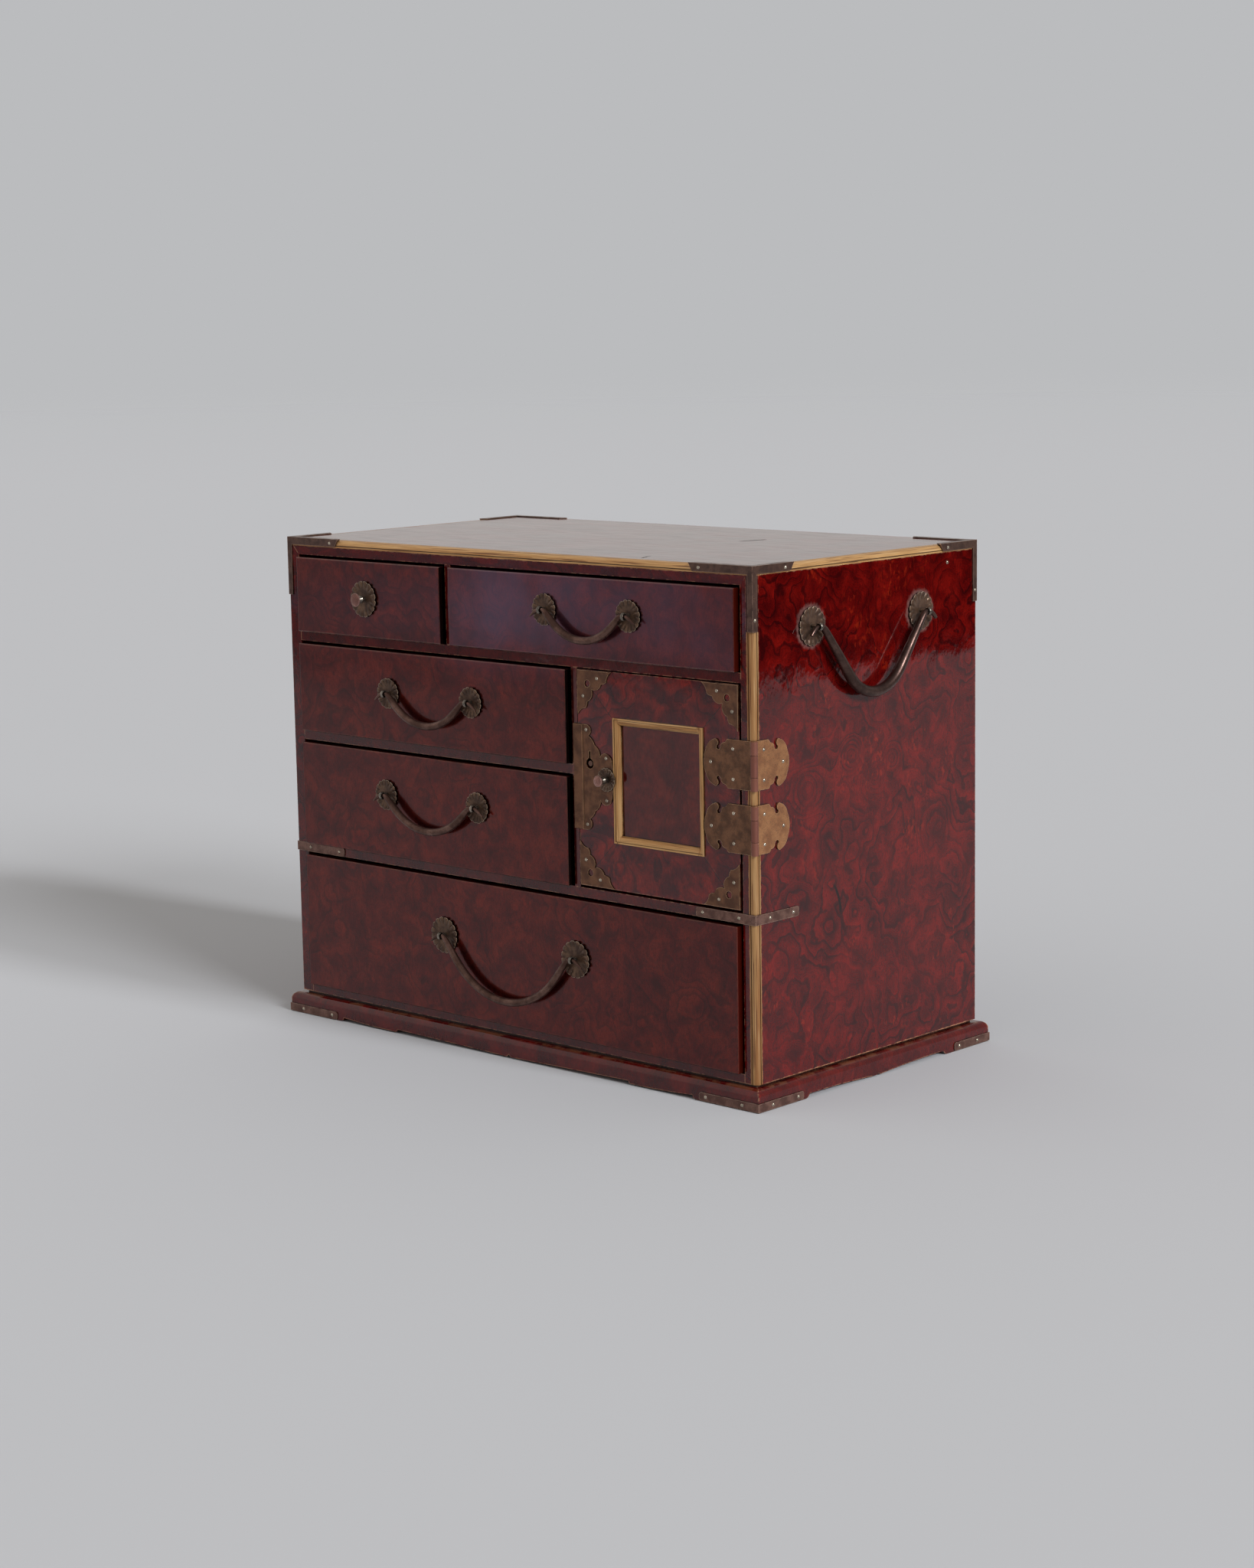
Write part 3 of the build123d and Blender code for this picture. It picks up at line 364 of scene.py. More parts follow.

# %% [markdown]
# ## Worn edges, painted shade and grime
# Everything on an old chest is rubbed along its edges. A rounded normal differs from the flat one
# only near an edge, so the angle between them marks the edges, on any shape and from any side.
# A little noise breaks the line up, as wear does. The opposite of wear is painted shade with some
# grime: it darkens where something else is close by, round nail heads, along the plates and in the
# gaps. How much of the sky is hidden within a millimetre or two gives that mask.

# %% Masks for wear, and for painted shade with grime
RAYS = 6
OPEN_SKY = (0.45, 0.92)
EDGE_TURN = (0.985, 0.86)
RUB_SCALE = 260.0


def crevice_shade_and_grime(tree, reach, share):
    """Painted shade with grime: share in corners and beside things that lie on the surface, 0 in the
    open.
    """
    open_sky = put(tree, "AmbientOcclusion", {"Distance": reach}, out=1, samples=RAYS)
    return times(tree, ramp(tree, open_sky, *OPEN_SKY, 1.0, 0.0), share)


def edges(tree, radius, amount):
    """1 on worn edges, 0 elsewhere; amount is the share of the edge that is worn."""
    rounded = put(tree, "Bevel", {"Radius": radius}, samples=RAYS)
    same = measure(tree, "DOT_PRODUCT", rounded, put(tree, "NewGeometry", out=1))
    near = ramp(tree, same, *EDGE_TURN)
    rub = noise(tree, place(tree), RUB_SCALE, detail=5, rough=0.65)
    worn = ramp(tree, rub, 0.56 - 0.24 * amount, 0.66 - 0.24 * amount)
    return times(tree, near, worn)


# %% [markdown]
# ## Burl lacquer
# The boards are veneered with burl wood under a clear red lacquer. Burl has no straight grain: it
# billows in rounded clouds with thin dark outlines, and here and there it closes round an eye. The
# figure is a height map: a broad swell, a pattern of round lobes, and a hill for each large eye.
# Its contour lines, sharp on one side and fading on the other, give the clouds; finer contours of
# the same map give the growth rings that follow them.

# %% Burl figure
PUSH_SCALE, PUSH_REACH = 55, 0.013
SWELL_SCALE, SWELL_STEPS = 17, 13.0
LOBE_SCALE, LOBE_STEPS = 58, 2.4
ROUGH_SCALE, ROUGH_STEPS = 230, 0.6
EYE_STEPS, EYE_CALM, EYE_EDGE = 2.4, 0.15, (0.7, 1.5)
RINGS_IN_STEP = 5.0
STRENGTH_SCALE, CLOUD_SCALE, FIBRE_SCALE, GRAIN_SCALE = 24, 80, 900, 2300


def burl(tree, shift, stretch, eyes):
    """(outlines, fine rings, cloud tone, fibres), each from 0 to 1. eyes are (y, z, radius)."""
    where = place(tree, scale=stretch, shift=shift)
    push = noise(tree, where, PUSH_SCALE, out=1)
    bent = vector_of(tree, "MULTIPLY_ADD", push, (PUSH_REACH,) * 3, where)
    swell = noise(tree, bent, SWELL_SCALE, detail=1.5)
    lobe_inputs = {"Vector": bent, "Scale": LOBE_SCALE, "Smoothness": 0.35}
    lobes = put(tree, "TexVoronoi", lobe_inputs, feature="SMOOTH_F1")
    rough = noise(tree, where, ROUGH_SCALE, detail=3)
    height = math_of(tree, "MULTIPLY_ADD", swell, SWELL_STEPS, -SWELL_STEPS / 2)
    height = math_of(tree, "MULTIPLY_ADD", lobes, LOBE_STEPS, height)
    height = math_of(tree, "MULTIPLY_ADD", rough, ROUGH_STEPS, height)
    flat = vector_of(tree, "MULTIPLY", here(tree), (0, 1, 1))
    for y, z, radius in eyes:
        away = measure(tree, "DISTANCE", flat, (0, y, z))
        calm = ramp(tree, away, *(share * radius for share in EYE_EDGE), EYE_CALM, 1.0)
        hill = ramp(tree, away, 0.0, radius, EYE_STEPS, 0.0)
        height = math_of(tree, "MULTIPLY_ADD", height, calm, hill)
    step = math_of(tree, "FRACT", height)
    after, before = ramp(tree, step, 0.0, 0.26, 1.0, 0.0), ramp(tree, step, 0.84, 1.0)
    shade = ramp(tree, step, 0.0, 0.8, 0.55, 0.0)
    outline = math_of(tree, "MAXIMUM", math_of(tree, "ADD", after, before), shade)
    strength = ramp(tree, noise(tree, where, STRENGTH_SCALE), 0.34, 0.60, 0.40, 1.0)
    outline = times(tree, outline, strength)
    rings = math_of(tree, "PINGPONG", times(tree, height, RINGS_IN_STEP), 0.5)
    cloud = noise(tree, bent, CLOUD_SCALE, detail=3, rough=0.55)
    fibre = noise(tree, place(tree, scale=(1, 1, 0.35)), FIBRE_SCALE, rough=0.7)
    grain = noise(tree, place(tree), GRAIN_SCALE, detail=1, rough=0.6)
    fibre = math_of(tree, "MULTIPLY_ADD", grain, 0.5, times(tree, fibre, 0.5))
    return outline, rings, cloud, fibre


# %% [markdown]
# Over the wood lies a thick polished coat with very slight waves, so what it mirrors has a soft,
# wandering border. Its edges are rubbed to the bare wood, and painted shade with grime darkens the
# corners.

# %% Lacquer finish
COAT_IOR = 1.5
COAT_WAVES = ((26, 1, 0.00022), (280, 0.6, 0.00003), (700, 0.3, 0.000008))
FLECK_SCALE, FLECK_PATCHES = 420, 31
FLECK_RED, RUBBED_WOOD, GRIME_AND_SHADE = rgb(140, 34, 14), rgb(150, 104, 78), rgb(16, 6, 5)
BOARD_EDGE, CREVICE_SHADE_REACH = 0.0011, 0.0016


def lacquer(name, shift, reds, figure=1.0, wear=0.5, stretch=(1, 1, 1), dust=0.05, silk=0.0,
            rough=0.42, eyes=(), marks=None, bare=None):
    """Burl under a red coat. reds are the dark, the middle and the bright red. silk is the share
    of the wood's own broad gloss. marks may add damage or painted light to the colour, bare may take
    off polish."""
    dark, middle, bright = reds
    tree, shader = new_finish(name)
    outline, rings, cloud, fibre = burl(tree, shift, stretch, eyes)
    tone = mix(tree, ramp(tree, cloud, 0.38, 0.70), middle, bright)
    tone = mix(tree, ramp(tree, cloud, 0.28, 0.44, 0.25, 0.0), tone, dark)
    tone = mix(tree, times(tree, outline, 0.78 * figure), tone, dark)
    tone = mix(tree, ramp(tree, rings, 0.28, 0.5, 0.0, 0.34 * figure), tone, dark)
    tone = mix(tree, ramp(tree, fibre, 0.38, 0.64, 0.0, 0.45), tone, dark)
    flecks = noise(tree, place(tree, scale=(1, 1, 0.6)), FLECK_SCALE)
    patches = ramp(tree, noise(tree, place(tree, shift=(2, 2, 2)), FLECK_PATCHES), 0.54, 0.70)
    glow = times(tree, ramp(tree, flecks, 0.54, 0.70, 0.0, 0.5), patches)
    tone = mix(tree, times(tree, glow, figure), tone, FLECK_RED)
    tone = mix(tree, edges(tree, BOARD_EDGE, wear), tone, RUBBED_WOOD)
    if marks:
        tone = marks(tree, tone)
    # Painted shade, with some grime, in the corners and beside the fittings.
    tone = mix(tree, crevice_shade_and_grime(tree, CREVICE_SHADE_REACH, 0.75), tone, GRIME_AND_SHADE)
    wire(tree, shader, Base_Color=tone, Metallic=silk, Roughness=rough, Specular_IOR_Level=0.0)
    normal = None
    for scale, upright, depth in COAT_WAVES:
        waves = noise(tree, place(tree, scale=(1, 1, upright)), scale)
        normal = bump(tree, waves, depth, normal)
    polish = math_of(tree, "SUBTRACT", 1.0, bare(tree)) if bare else 1.0
    wire(tree, shader, Coat_Weight=polish, Coat_Roughness=dust, Coat_IOR=COAT_IOR,
         Coat_Normal=normal)


# %% [markdown]
# The end boards carry marks of their own. Polish has dulled the lacquer to a grey halo round each
# rosette, and the lowest edge is worn to the bare wood. The right one has a short dark check in the
# veneer.

# %% Marks on the end boards
PULL_EYES = ((0.0, -0.0464, 0.252), (0.0, 0.0471, 0.252))
HALO_SCALE, HALO_RAGGED, HALO_EDGE = 420, 0.004, (0.0118, 0.0152)
CHECK_Y, CHECK_Z, CHECK_BOW, CHECK_LEAN = -0.0241, 0.1025, 21.3, 0.332
CHECK_ENDS, CHECK_SIDES = (0.006, 0.011), (0.0005, 0.0014)
WORN_SCALE, WORN_RAGGED, WORN_BELOW = 240, 0.0016, (0.0138, 0.0144)
WORN_PATCHES = 60
HALO_GREY, CHECK_DARK, BARE_EDGE = rgb(128, 96, 90), rgb(14, 4, 4), rgb(186, 132, 96)


def end_marks(tree, tone):
    flat = vector_of(tree, "MULTIPLY", here(tree), (0, 1, 1))
    ragged = noise(tree, place(tree), HALO_SCALE, detail=4)
    for eye in PULL_EYES:
        away = measure(tree, "DISTANCE", flat, eye)
        away = math_of(tree, "MULTIPLY_ADD", ragged, HALO_RAGGED, away)
        tone = mix(tree, ramp(tree, away, *HALO_EDGE, 0.75, 0.0), tone, HALO_GREY)
    sideways = math_of(tree, "SUBTRACT", axis_of(tree, 1), CHECK_Y)
    upward = math_of(tree, "SUBTRACT", axis_of(tree, 2), CHECK_Z)
    bow = times(tree, math_of(tree, "MULTIPLY_ADD", upward, CHECK_BOW, CHECK_LEAN), upward)
    gap = size_of(tree, math_of(tree, "ADD", sideways, bow))
    within = ramp(tree, size_of(tree, upward), *CHECK_ENDS, 1.0, 0.0)
    within = times(tree, within, ramp(tree, axis_of(tree, 0), 0.0, 0.01))
    dark = times(tree, ramp(tree, gap, *CHECK_SIDES, 0.95, 0.0), within)
    tone = mix(tree, dark, tone, CHECK_DARK)
    ragged = noise(tree, place(tree), WORN_SCALE, detail=3)
    low = math_of(tree, "MULTIPLY_ADD", ragged, WORN_RAGGED, axis_of(tree, 2))
    patches = noise(tree, place(tree, shift=(1, 1, 1)), WORN_PATCHES, detail=3)
    share = ramp(tree, patches, 0.36, 0.52, 0.15, 0.75)
    worn = times(tree, ramp(tree, low, *WORN_BELOW, 1.0, 0.0), share)
    return mix(tree, worn, tone, BARE_EDGE)


# %% [markdown]
# The drawer fronts' end faces beside the door are darkened with painted shade; those beside the
# front corner get painted orange-red light. The upper right drawer has a painted bluish reflection
# in its polish, and the drawers below it are duller. The door frame is mitred, and the four joints
# show as hair lines.

# %% Painted light on the fronts, marks on the door
REFLECTION_FROM_Z, REFLECTION_FROM_X, REFLECTION_FADES = (0.205, 0.245), (-0.060, -0.035), (-0.02, 0.10)
REFLECTION_SCALE = 17
LIT_OR_SHADED_END_FACING, LIT_END_FROM_X = (0.5, 0.9), (0.150, 0.156)
DULL_BELOW, DULLED = (0.215, 0.240), 0.32
DOOR_MIDDLE, DOOR_HALF = (0.1125, 0.16565), (0.0578, 0.05965)
MITRE_WIDTH = (0.0001, 0.0004)
PAINTED_BLUE_REFLECTION, PAINTED_SHADE_END, PAINTED_LIGHT_END = rgb(112, 94, 122), rgb(16, 4, 3), rgb(112, 32, 18)


def front_painted_light(tree, tone):
    # A painted bluish reflection on the upper right drawer.
    high = times(tree, ramp(tree, axis_of(tree, 2), *REFLECTION_FROM_Z),
                 ramp(tree, axis_of(tree, 0), *REFLECTION_FROM_X))
    high = times(tree, high, ramp(tree, axis_of(tree, 0), *REFLECTION_FADES, 1.0, 0.45))
    blue_reflection = ramp(tree, noise(tree, place(tree), REFLECTION_SCALE, detail=3), 0.34, 0.62, 0.12, 0.40)
    tone = mix(tree, times(tree, high, blue_reflection), tone, PAINTED_BLUE_REFLECTION)
    # Painted shade on the end faces beside the door, painted orange-red light on those beside the
    # front corner.
    outer = ramp(tree, axis_of(tree, 0), *LIT_END_FROM_X)
    side = mix(tree, outer, PAINTED_SHADE_END, PAINTED_LIGHT_END)
    return mix(tree, ramp(tree, facing(tree, 0), *LIT_OR_SHADED_END_FACING), tone, side)


def dull_fronts(tree):
    return ramp(tree, axis_of(tree, 2), *DULL_BELOW, DULLED, 0.0)


def off_middle(tree, axis, middle):
    """How far the point is from a middle, along one axis."""
    return size_of(tree, math_of(tree, "SUBTRACT", axis_of(tree, axis), middle))


def mitre_marks(tree, tone):
    inset = [
        math_of(tree, "SUBTRACT", half, off_middle(tree, axis, middle))
        for axis, middle, half in zip((0, 2), DOOR_MIDDLE, DOOR_HALF)
    ]
    across = size_of(tree, math_of(tree, "SUBTRACT", *inset))
    return mix(tree, ramp(tree, across, *MITRE_WIDTH, 0.8, 0.0), tone, rgb(14, 5, 5))


# %% [markdown]
# The top has lost a little polish in long streaks, and it has two short open checks. On the
# plinth's ledge the lacquer is rubbed to a brown line along the case.

# %% Marks on the top and the plinth
TOP_CHECKS = (  # (x, y, turn in degrees, half its length, half its width)
    (0.072, 0.034, 72, 0.0095, 0.0016),
    (0.092, -0.0775, 112, 0.0070, 0.0007),
)
STREAK_SCALE, STREAK_LOSS, RAGGED_CHECK = 420, 0.12, 0.002
OPEN_CHECK = (0.45, 0.9)
LEDGE_FACE, LEDGE_SCALE, LEDGE_RUB = (0.7, 0.95), 90, 0.6


def worn_top(tree):
    streaks = noise(tree, place(tree, scale=(0.1, 1, 1)), STREAK_SCALE, detail=4, rough=0.65)
    lost = ramp(tree, streaks, 0.44, 0.72, 0.0, STREAK_LOSS)
    ragged = noise(tree, place(tree), 300, detail=3)
    ragged = math_of(tree, "MULTIPLY_ADD", ragged, RAGGED_CHECK, -RAGGED_CHECK / 2)
    for x, y, degrees, half, wide in TOP_CHECKS:
        away = vector_of(tree, "SUBTRACT", here(tree), (x, y, 0.0))
        run = (math.cos(math.radians(degrees)), math.sin(math.radians(degrees)), 0.0)
        along = size_of(tree, measure(tree, "DOT_PRODUCT", away, run))
        across = measure(tree, "DOT_PRODUCT", away, (-run[1], run[0], 0.0))
        across = size_of(tree, math_of(tree, "ADD", across, ragged))
        slit = times(tree, ramp(tree, across, 0.4 * wide, wide, 0.95, 0.0),
                     ramp(tree, along, 0.8 * half, half, 1.0, 0.0))
        lost = math_of(tree, "MAXIMUM", lost, slit)
    return lost


def top_marks(tree, tone):
    return mix(tree, ramp(tree, worn_top(tree), *OPEN_CHECK), tone, rgb(12, 5, 4))


def plinth_marks(tree, tone):
    ledge = ramp(tree, facing(tree, 2), *LEDGE_FACE)
    rubbed = noise(tree, place(tree), LEDGE_SCALE, detail=5, rough=0.65)
    share = times(tree, times(tree, ledge, ramp(tree, rubbed, 0.44, 0.56)), LEDGE_RUB)
    return mix(tree, share, tone, rgb(116, 74, 50))


# %% [markdown]
# The lacquers differ in their reds, their figure and their dust. Near the middle of the ends the
# burl closes round four large eyes.

# %% The lacquers
END_REDS = (rgb(24, 3, 5), rgb(86, 6, 5), rgb(116, 14, 9))
FRONT_REDS = (rgb(26, 8, 8), rgb(90, 18, 15), rgb(116, 32, 20))
CASE_REDS = (rgb(22, 5, 6), rgb(78, 9, 8), rgb(104, 18, 12))
DOOR_REDS = (rgb(26, 6, 10), rgb(88, 12, 16), rgb(146, 34, 22))
BURL_EYES = (  # (y, z, radius)
    (-0.013, 0.179, 0.009), (0.0223, 0.1734, 0.0085), (0.0081, 0.1651, 0.008),
    (-0.0499, 0.1648, 0.012),
)
lacquer(
    "end_lacquer", (0.31, 0.02, 0.05), END_REDS, wear=0.35, eyes=BURL_EYES, marks=end_marks
)
lacquer("case_lacquer", (0.5, 0.3, 0.1), CASE_REDS, figure=0.35)
lacquer(
    "plinth_lacquer", (0.5, 0.3, 0.1), CASE_REDS, figure=0.35, wear=0.6, dust=0.16,
    marks=plinth_marks,
)
lacquer(
    "front_lacquer", (0.1, 0.4, 0.2), FRONT_REDS, figure=0.6, wear=0.6, dust=0.13,
    silk=0.85, rough=0.3, marks=front_painted_light, bare=dull_fronts,
)
lacquer(
    "door_lacquer", (0.9, 0.4, 0.6), DOOR_REDS, figure=0.8, wear=0.6, silk=0.85, rough=0.3,
    marks=mitre_marks,
)
lacquer(
    "panel_lacquer", (0.2, 0.7, 0.6), FRONT_REDS, figure=0.3, wear=0.3, silk=0.85, rough=0.3
)
lacquer(
    "top_lacquer", (0.7, 0.1, 0.0), CASE_REDS, figure=0.6, wear=0.3, stretch=(0.4, 1, 1), dust=0.12,
    marks=top_marks, bare=worn_top,
)
print("lacquers ready")

# %% [markdown]
# ## Bare wood
# Inside the drawers the light wood was never lacquered. Long rings stretched along the board, with
# fine pores, a few stains, and painted shade with brown dust in the corners are enough.

# %% Bare wood
GRAIN_STRETCH = (1, 0.08, 1)
FLOW_SCALE, FLOW_RINGS, PORE_SCALE, STAIN_SCALE = 22, 16.0, 380, 7
PORE_DEPTH, CORNER_SHADE_REACH = 0.00006, 0.012
PALE, BROWN = rgb(172, 142, 104), rgb(122, 92, 60)

tree, shader = new_finish("bare_wood")
flow = noise(tree, place(tree, scale=GRAIN_STRETCH), FLOW_SCALE, distortion=0.5)
rings = math_of(tree, "PINGPONG", times(tree, flow, FLOW_RINGS), 0.5)
pores = noise(tree, place(tree, scale=tuple(3 * s for s in GRAIN_STRETCH)), PORE_SCALE)
stain = noise(tree, place(tree), STAIN_SCALE, detail=4)
tone = mix(tree, ramp(tree, rings, 0.0, 0.5, 0.45, 1.0), BROWN, PALE)
tone = mix(tree, ramp(tree, pores, 0.55, 0.72, 0.0, 0.45), tone, BROWN)
tone = mix(tree, ramp(tree, stain, 0.4, 0.7, 0.0, 0.35), tone, rgb(96, 70, 48))
# Painted shade, with some brown dust, in the corners of the drawers.
tone = mix(tree, crevice_shade_and_grime(tree, CORNER_SHADE_REACH, 0.6), tone, rgb(62, 44, 30))
wire(tree, shader, Base_Color=tone, Roughness=0.72, Specular_IOR_Level=0.25)
wire(tree, shader, Normal=bump(tree, pores, PORE_DEPTH))
print("bare wood ready")

# %% [markdown]
# ## Metals
# The fittings are old bronze and brass with a brown skin. The skin is part metal and part dull
# dirt, so these finishes mix the two: a share of metal below one, a mottled colour, and bright
# rubbed edges. The hinge barrels are redder than their leaves.

# %% Metal finish
SKIN_SCALE, SPECK_SCALE = 150, 1900
METAL_EDGE, METAL_SHADE_REACH = 0.0004, 0.0011
HINGE_AXIS, BARREL_EDGE = (0.1808, -0.09405, 0.0), (0.0021, 0.0023)


def metal(name, dull, clean, metallic, rough, edge, speck=rgb(60, 55, 45), fine=1.0, wear=0.8,
          relief=0.00008, marks=None):
    tree, shader = new_finish(name)
    patches = noise(tree, place(tree), SKIN_SCALE * fine, detail=5, rough=0.6)
    specks = noise(tree, place(tree), SPECK_SCALE * fine, rough=0.6)
    tone = mix(tree, ramp(tree, patches, 0.36, 0.64), dull, clean)
    tone = mix(tree, ramp(tree, specks, 0.52, 0.68, 0.0, 0.55), tone, speck)
    tone = mix(tree, edges(tree, METAL_EDGE, wear), tone, edge)
    if marks:
        tone = marks(tree, tone)
    # Painted shade, with some dirt, round nail heads and beside what lies close by.
    tone = mix(tree, crevice_shade_and_grime(tree, METAL_SHADE_REACH, 0.8), tone, rgb(18, 12, 9))
    wire(tree, shader, Base_Color=tone, Metallic=metallic)
    wire(tree, shader, Roughness=ramp(tree, patches, 0.3, 0.7, rough + 0.1, rough - 0.08))
    wire(tree, shader, Normal=bump(tree, patches, relief))


def barrel_marks(tree, tone):
    level = vector_of(tree, "MULTIPLY", here(tree), (1, 1, 0))
    away = measure(tree, "DISTANCE", level, HINGE_AXIS)
    return mix(tree, ramp(tree, away, *BARREL_EDGE, 0.9, 0.0), tone, rgb(126, 76, 64))


# %% The metals
RUBBED_SHEET, RUBBED_ROD = rgb(205, 165, 125), rgb(150, 120, 100)
metal("plate_bronze", rgb(85, 53, 36), rgb(118, 78, 53), 0.55, 0.42, RUBBED_SHEET)
metal(
    "leaf_bronze", rgb(136, 90, 58), rgb(166, 116, 76), 0.45, 0.42, RUBBED_SHEET,
    marks=barrel_marks,
)
metal(
    "door_leaf_bronze", rgb(88, 57, 38), rgb(122, 82, 56), 0.55, 0.42, RUBBED_SHEET,
    marks=barrel_marks,
)
metal(
    "bracket_bronze", rgb(92, 62, 54), rgb(128, 94, 82), 0.6, 0.36, rgb(190, 160, 140)
)
metal(
    "corner_bronze", rgb(72, 50, 43), rgb(104, 77, 66), 0.6, 0.34, rgb(180, 146, 126)
)
metal(
    "rosette_bronze", rgb(72, 51, 40), rgb(106, 80, 62), 0.6, 0.4, rgb(205, 185, 160),
    speck=rgb(34, 26, 20), fine=1.3,
)
metal(
    "eye_metal", rgb(104, 98, 90), rgb(160, 150, 138), 0.95, 0.25, rgb(215, 210, 200)
)
metal(
    "dark_bronze", rgb(80, 57, 49), rgb(114, 86, 76), 0.9, 0.34, RUBBED_ROD,
    speck=rgb(54, 40, 36), fine=0.8, wear=0.2, relief=0.00003,
)
metal(
    "handle_bronze", rgb(66, 49, 44), rgb(94, 72, 65), 0.9, 0.34, RUBBED_ROD,
    speck=rgb(50, 38, 34), fine=0.8, wear=0.2, relief=0.00003,
)
metal("copper", rgb(122, 84, 76), rgb(160, 118, 108), 0.8, 0.32, rgb(225, 200, 190))
metal(
    "nail_metal", rgb(150, 138, 122), rgb(205, 192, 172), 0.9, 0.22, rgb(225, 215, 200)
)
metal("lock_iron", rgb(84, 60, 52), rgb(116, 86, 74), 0.8, 0.45, rgb(150, 128, 112))
print("metals ready")

# %% [markdown]
# ## Gilt
# The gilt beads have been handled for a century: the gold is thin, and long brown lines of the
# ground show through, with fine streaks between them. They run along each bead. One pattern serves
# them all: it is stretched along Z on what stands upright, along Y on the top edges of the ends,
# and along X on the rest, and the place of a point tells which it is on. The upright bead is
# browner than the rest, and beside the top brackets it is covered with lacquer.

# %% Gilt finish
LONG = 0.02
LINE_SCALE, GOLD_SCALE, PATCH_SCALE = 1500, 3800, 320
LINE_DEPTH, STREAK_DEPTH = 0.0001, 0.00004
BRACKET_END = (0.2526, 0.2530)
TOP_BEAD_FOOT = (0.2820, 0.2822)
END_BEAD_X, END_BEAD_Y = (0.1755, 0.1757), (-0.0889, -0.0887)
MOULDING_MIDDLE, MOULDING_STILE = 0.11325, (0.0282, 0.0284)


def steer(tree, share, a, b):
    """A place between a and b."""
    return put(tree, "Mix", {0: share, 4: a, 5: b}, out=1, data_type="VECTOR")


def gilt(name, upright, deep, dim=0.0):
    """Worn gilt. upright and deep are the tests, as trees, for beads along Z and along Y. dim is
    how much browner the upright ones are."""
    tree, shader = new_finish(name)
    along = place(tree, scale=(LONG, 1, 1))
    along = steer(tree, deep(tree), along, place(tree, scale=(1, LONG, 1)))
    along = steer(tree, upright(tree), along, place(tree, scale=(1, 1, LONG)))
    lines = noise(tree, along, LINE_SCALE, detail=1)
    streak = noise(tree, along, GOLD_SCALE, detail=3, rough=0.6)
    patches = noise(tree, along, PATCH_SCALE, detail=5)
    tone = mix(tree, ramp(tree, patches, 0.36, 0.62), rgb(176, 124, 70), rgb(210, 164, 106))
    tone = mix(tree, ramp(tree, streak, 0.45, 0.65, 0.0, 0.4), tone, rgb(132, 84, 48))
    tone = mix(tree, ramp(tree, lines, 0.60, 0.67, 0.0, 0.8), tone, rgb(96, 52, 30))
    tone = mix(tree, ramp(tree, lines, 0.33, 0.42, 0.5, 0.0), tone, rgb(230, 192, 140))
    tone = mix(tree, ramp(tree, patches, 0.60, 0.72, 0.0, 0.4), tone, rgb(110, 60, 36))
    # Painted shade in the grooves of the beads and beside what lies close by.
    tone = mix(tree, crevice_shade_and_grime(tree, 0.001, 0.9), tone, rgb(40, 16, 10))
    tone = mix(tree, times(tree, upright(tree), dim), tone, rgb(84, 42, 30))
    covered = times(tree, ramp(tree, axis_of(tree, 2), *BRACKET_END), upright(tree))
    tone = mix(tree, times(tree, covered, min(1.0, 3 * dim)), tone, rgb(52, 12, 10))
    wire(tree, shader, Base_Color=tone, Metallic=0.4, Roughness=0.4)
    relief = bump(tree, lines, LINE_DEPTH)
    wire(tree, shader, Normal=bump(tree, streak, STREAK_DEPTH, relief))


def below_top(tree):
    return ramp(tree, axis_of(tree, 2), *TOP_BEAD_FOOT, 1.0, 0.0)


def on_ends(tree):
    return times(tree, ramp(tree, size_of(tree, axis_of(tree, 0)), *END_BEAD_X),
                 ramp(tree, axis_of(tree, 1), *END_BEAD_Y))


def on_stiles(tree):
    return ramp(tree, off_middle(tree, 0, MOULDING_MIDDLE), *MOULDING_STILE)


gilt("gilt_beads", below_top, on_ends, dim=0.35)
gilt("gilt_moulding", on_stiles, lambda tree: 0.0)
print("gilt ready")

# %% [markdown]
# ## Finishes on the model
# Every node gets the finish of its material slot. Some then get one of their own.

# %% Finishes by slot and by node
by_slot = {"inner_wood": "bare_wood", "gilt": "gilt_beads", "bronze_plate": "plate_bronze"}
for part in frame["record"]["subparts"]:
    slot = part["material_slot"]
    dress(NODES[part["node"]], by_slot.get(slot, slot))
by_node = {
    "top_board": "top_lacquer", "partition": "panel_lacquer", "door_panel": "panel_lacquer",
    "door_frame": "door_lacquer", "door_moulding": "gilt_moulding",
    "end_board_right": "end_lacquer", "end_board_left": "end_lacquer",
    "hinge_end_leaves": "leaf_bronze", "hinge_door_leaves": "door_leaf_bronze",
    "top_corner_brackets": "corner_bronze",
    "waist_straps": "bracket_bronze", "plinth_straps": "bracket_bronze",
}
for node in NODES:
    if node.startswith("plinth_") and node != "plinth_straps":
        by_node[node] = "plinth_lacquer"
for node, finish in by_node.items():
    dress(NODES[node], finish)
print(len(by_node), "nodes with a finish of their own")

# %% [markdown]
# ## Modelling helpers
# The small fittings are modelled as by hand: a primitive is added, its points are picked by their
# place, and they are moved. These helpers add a primitive with nothing else selected, pick points,
# and set a finished piece in its place.

# %% Modelling helpers
def start(add, **settings):
    """Add a primitive, nothing else being selected, and go to edit mode."""
    bpy.ops.object.select_all(action="DESELECT")
    add(**settings)
    piece = bpy.context.object
    bpy.ops.object.mode_set(mode="EDIT")
    return piece


def pick(piece, test):
    """In edit mode, select the points for which test(point) is true."""
    bpy.ops.mesh.select_mode(type="VERT")
    bpy.ops.mesh.select_all(action="DESELECT")
    net = bmesh.from_edit_mesh(piece.data)
    for point in net.verts:
        point.select_set(bool(test(point.co)))
    net.select_flush(True)
    bmesh.update_edit_mesh(piece.data)


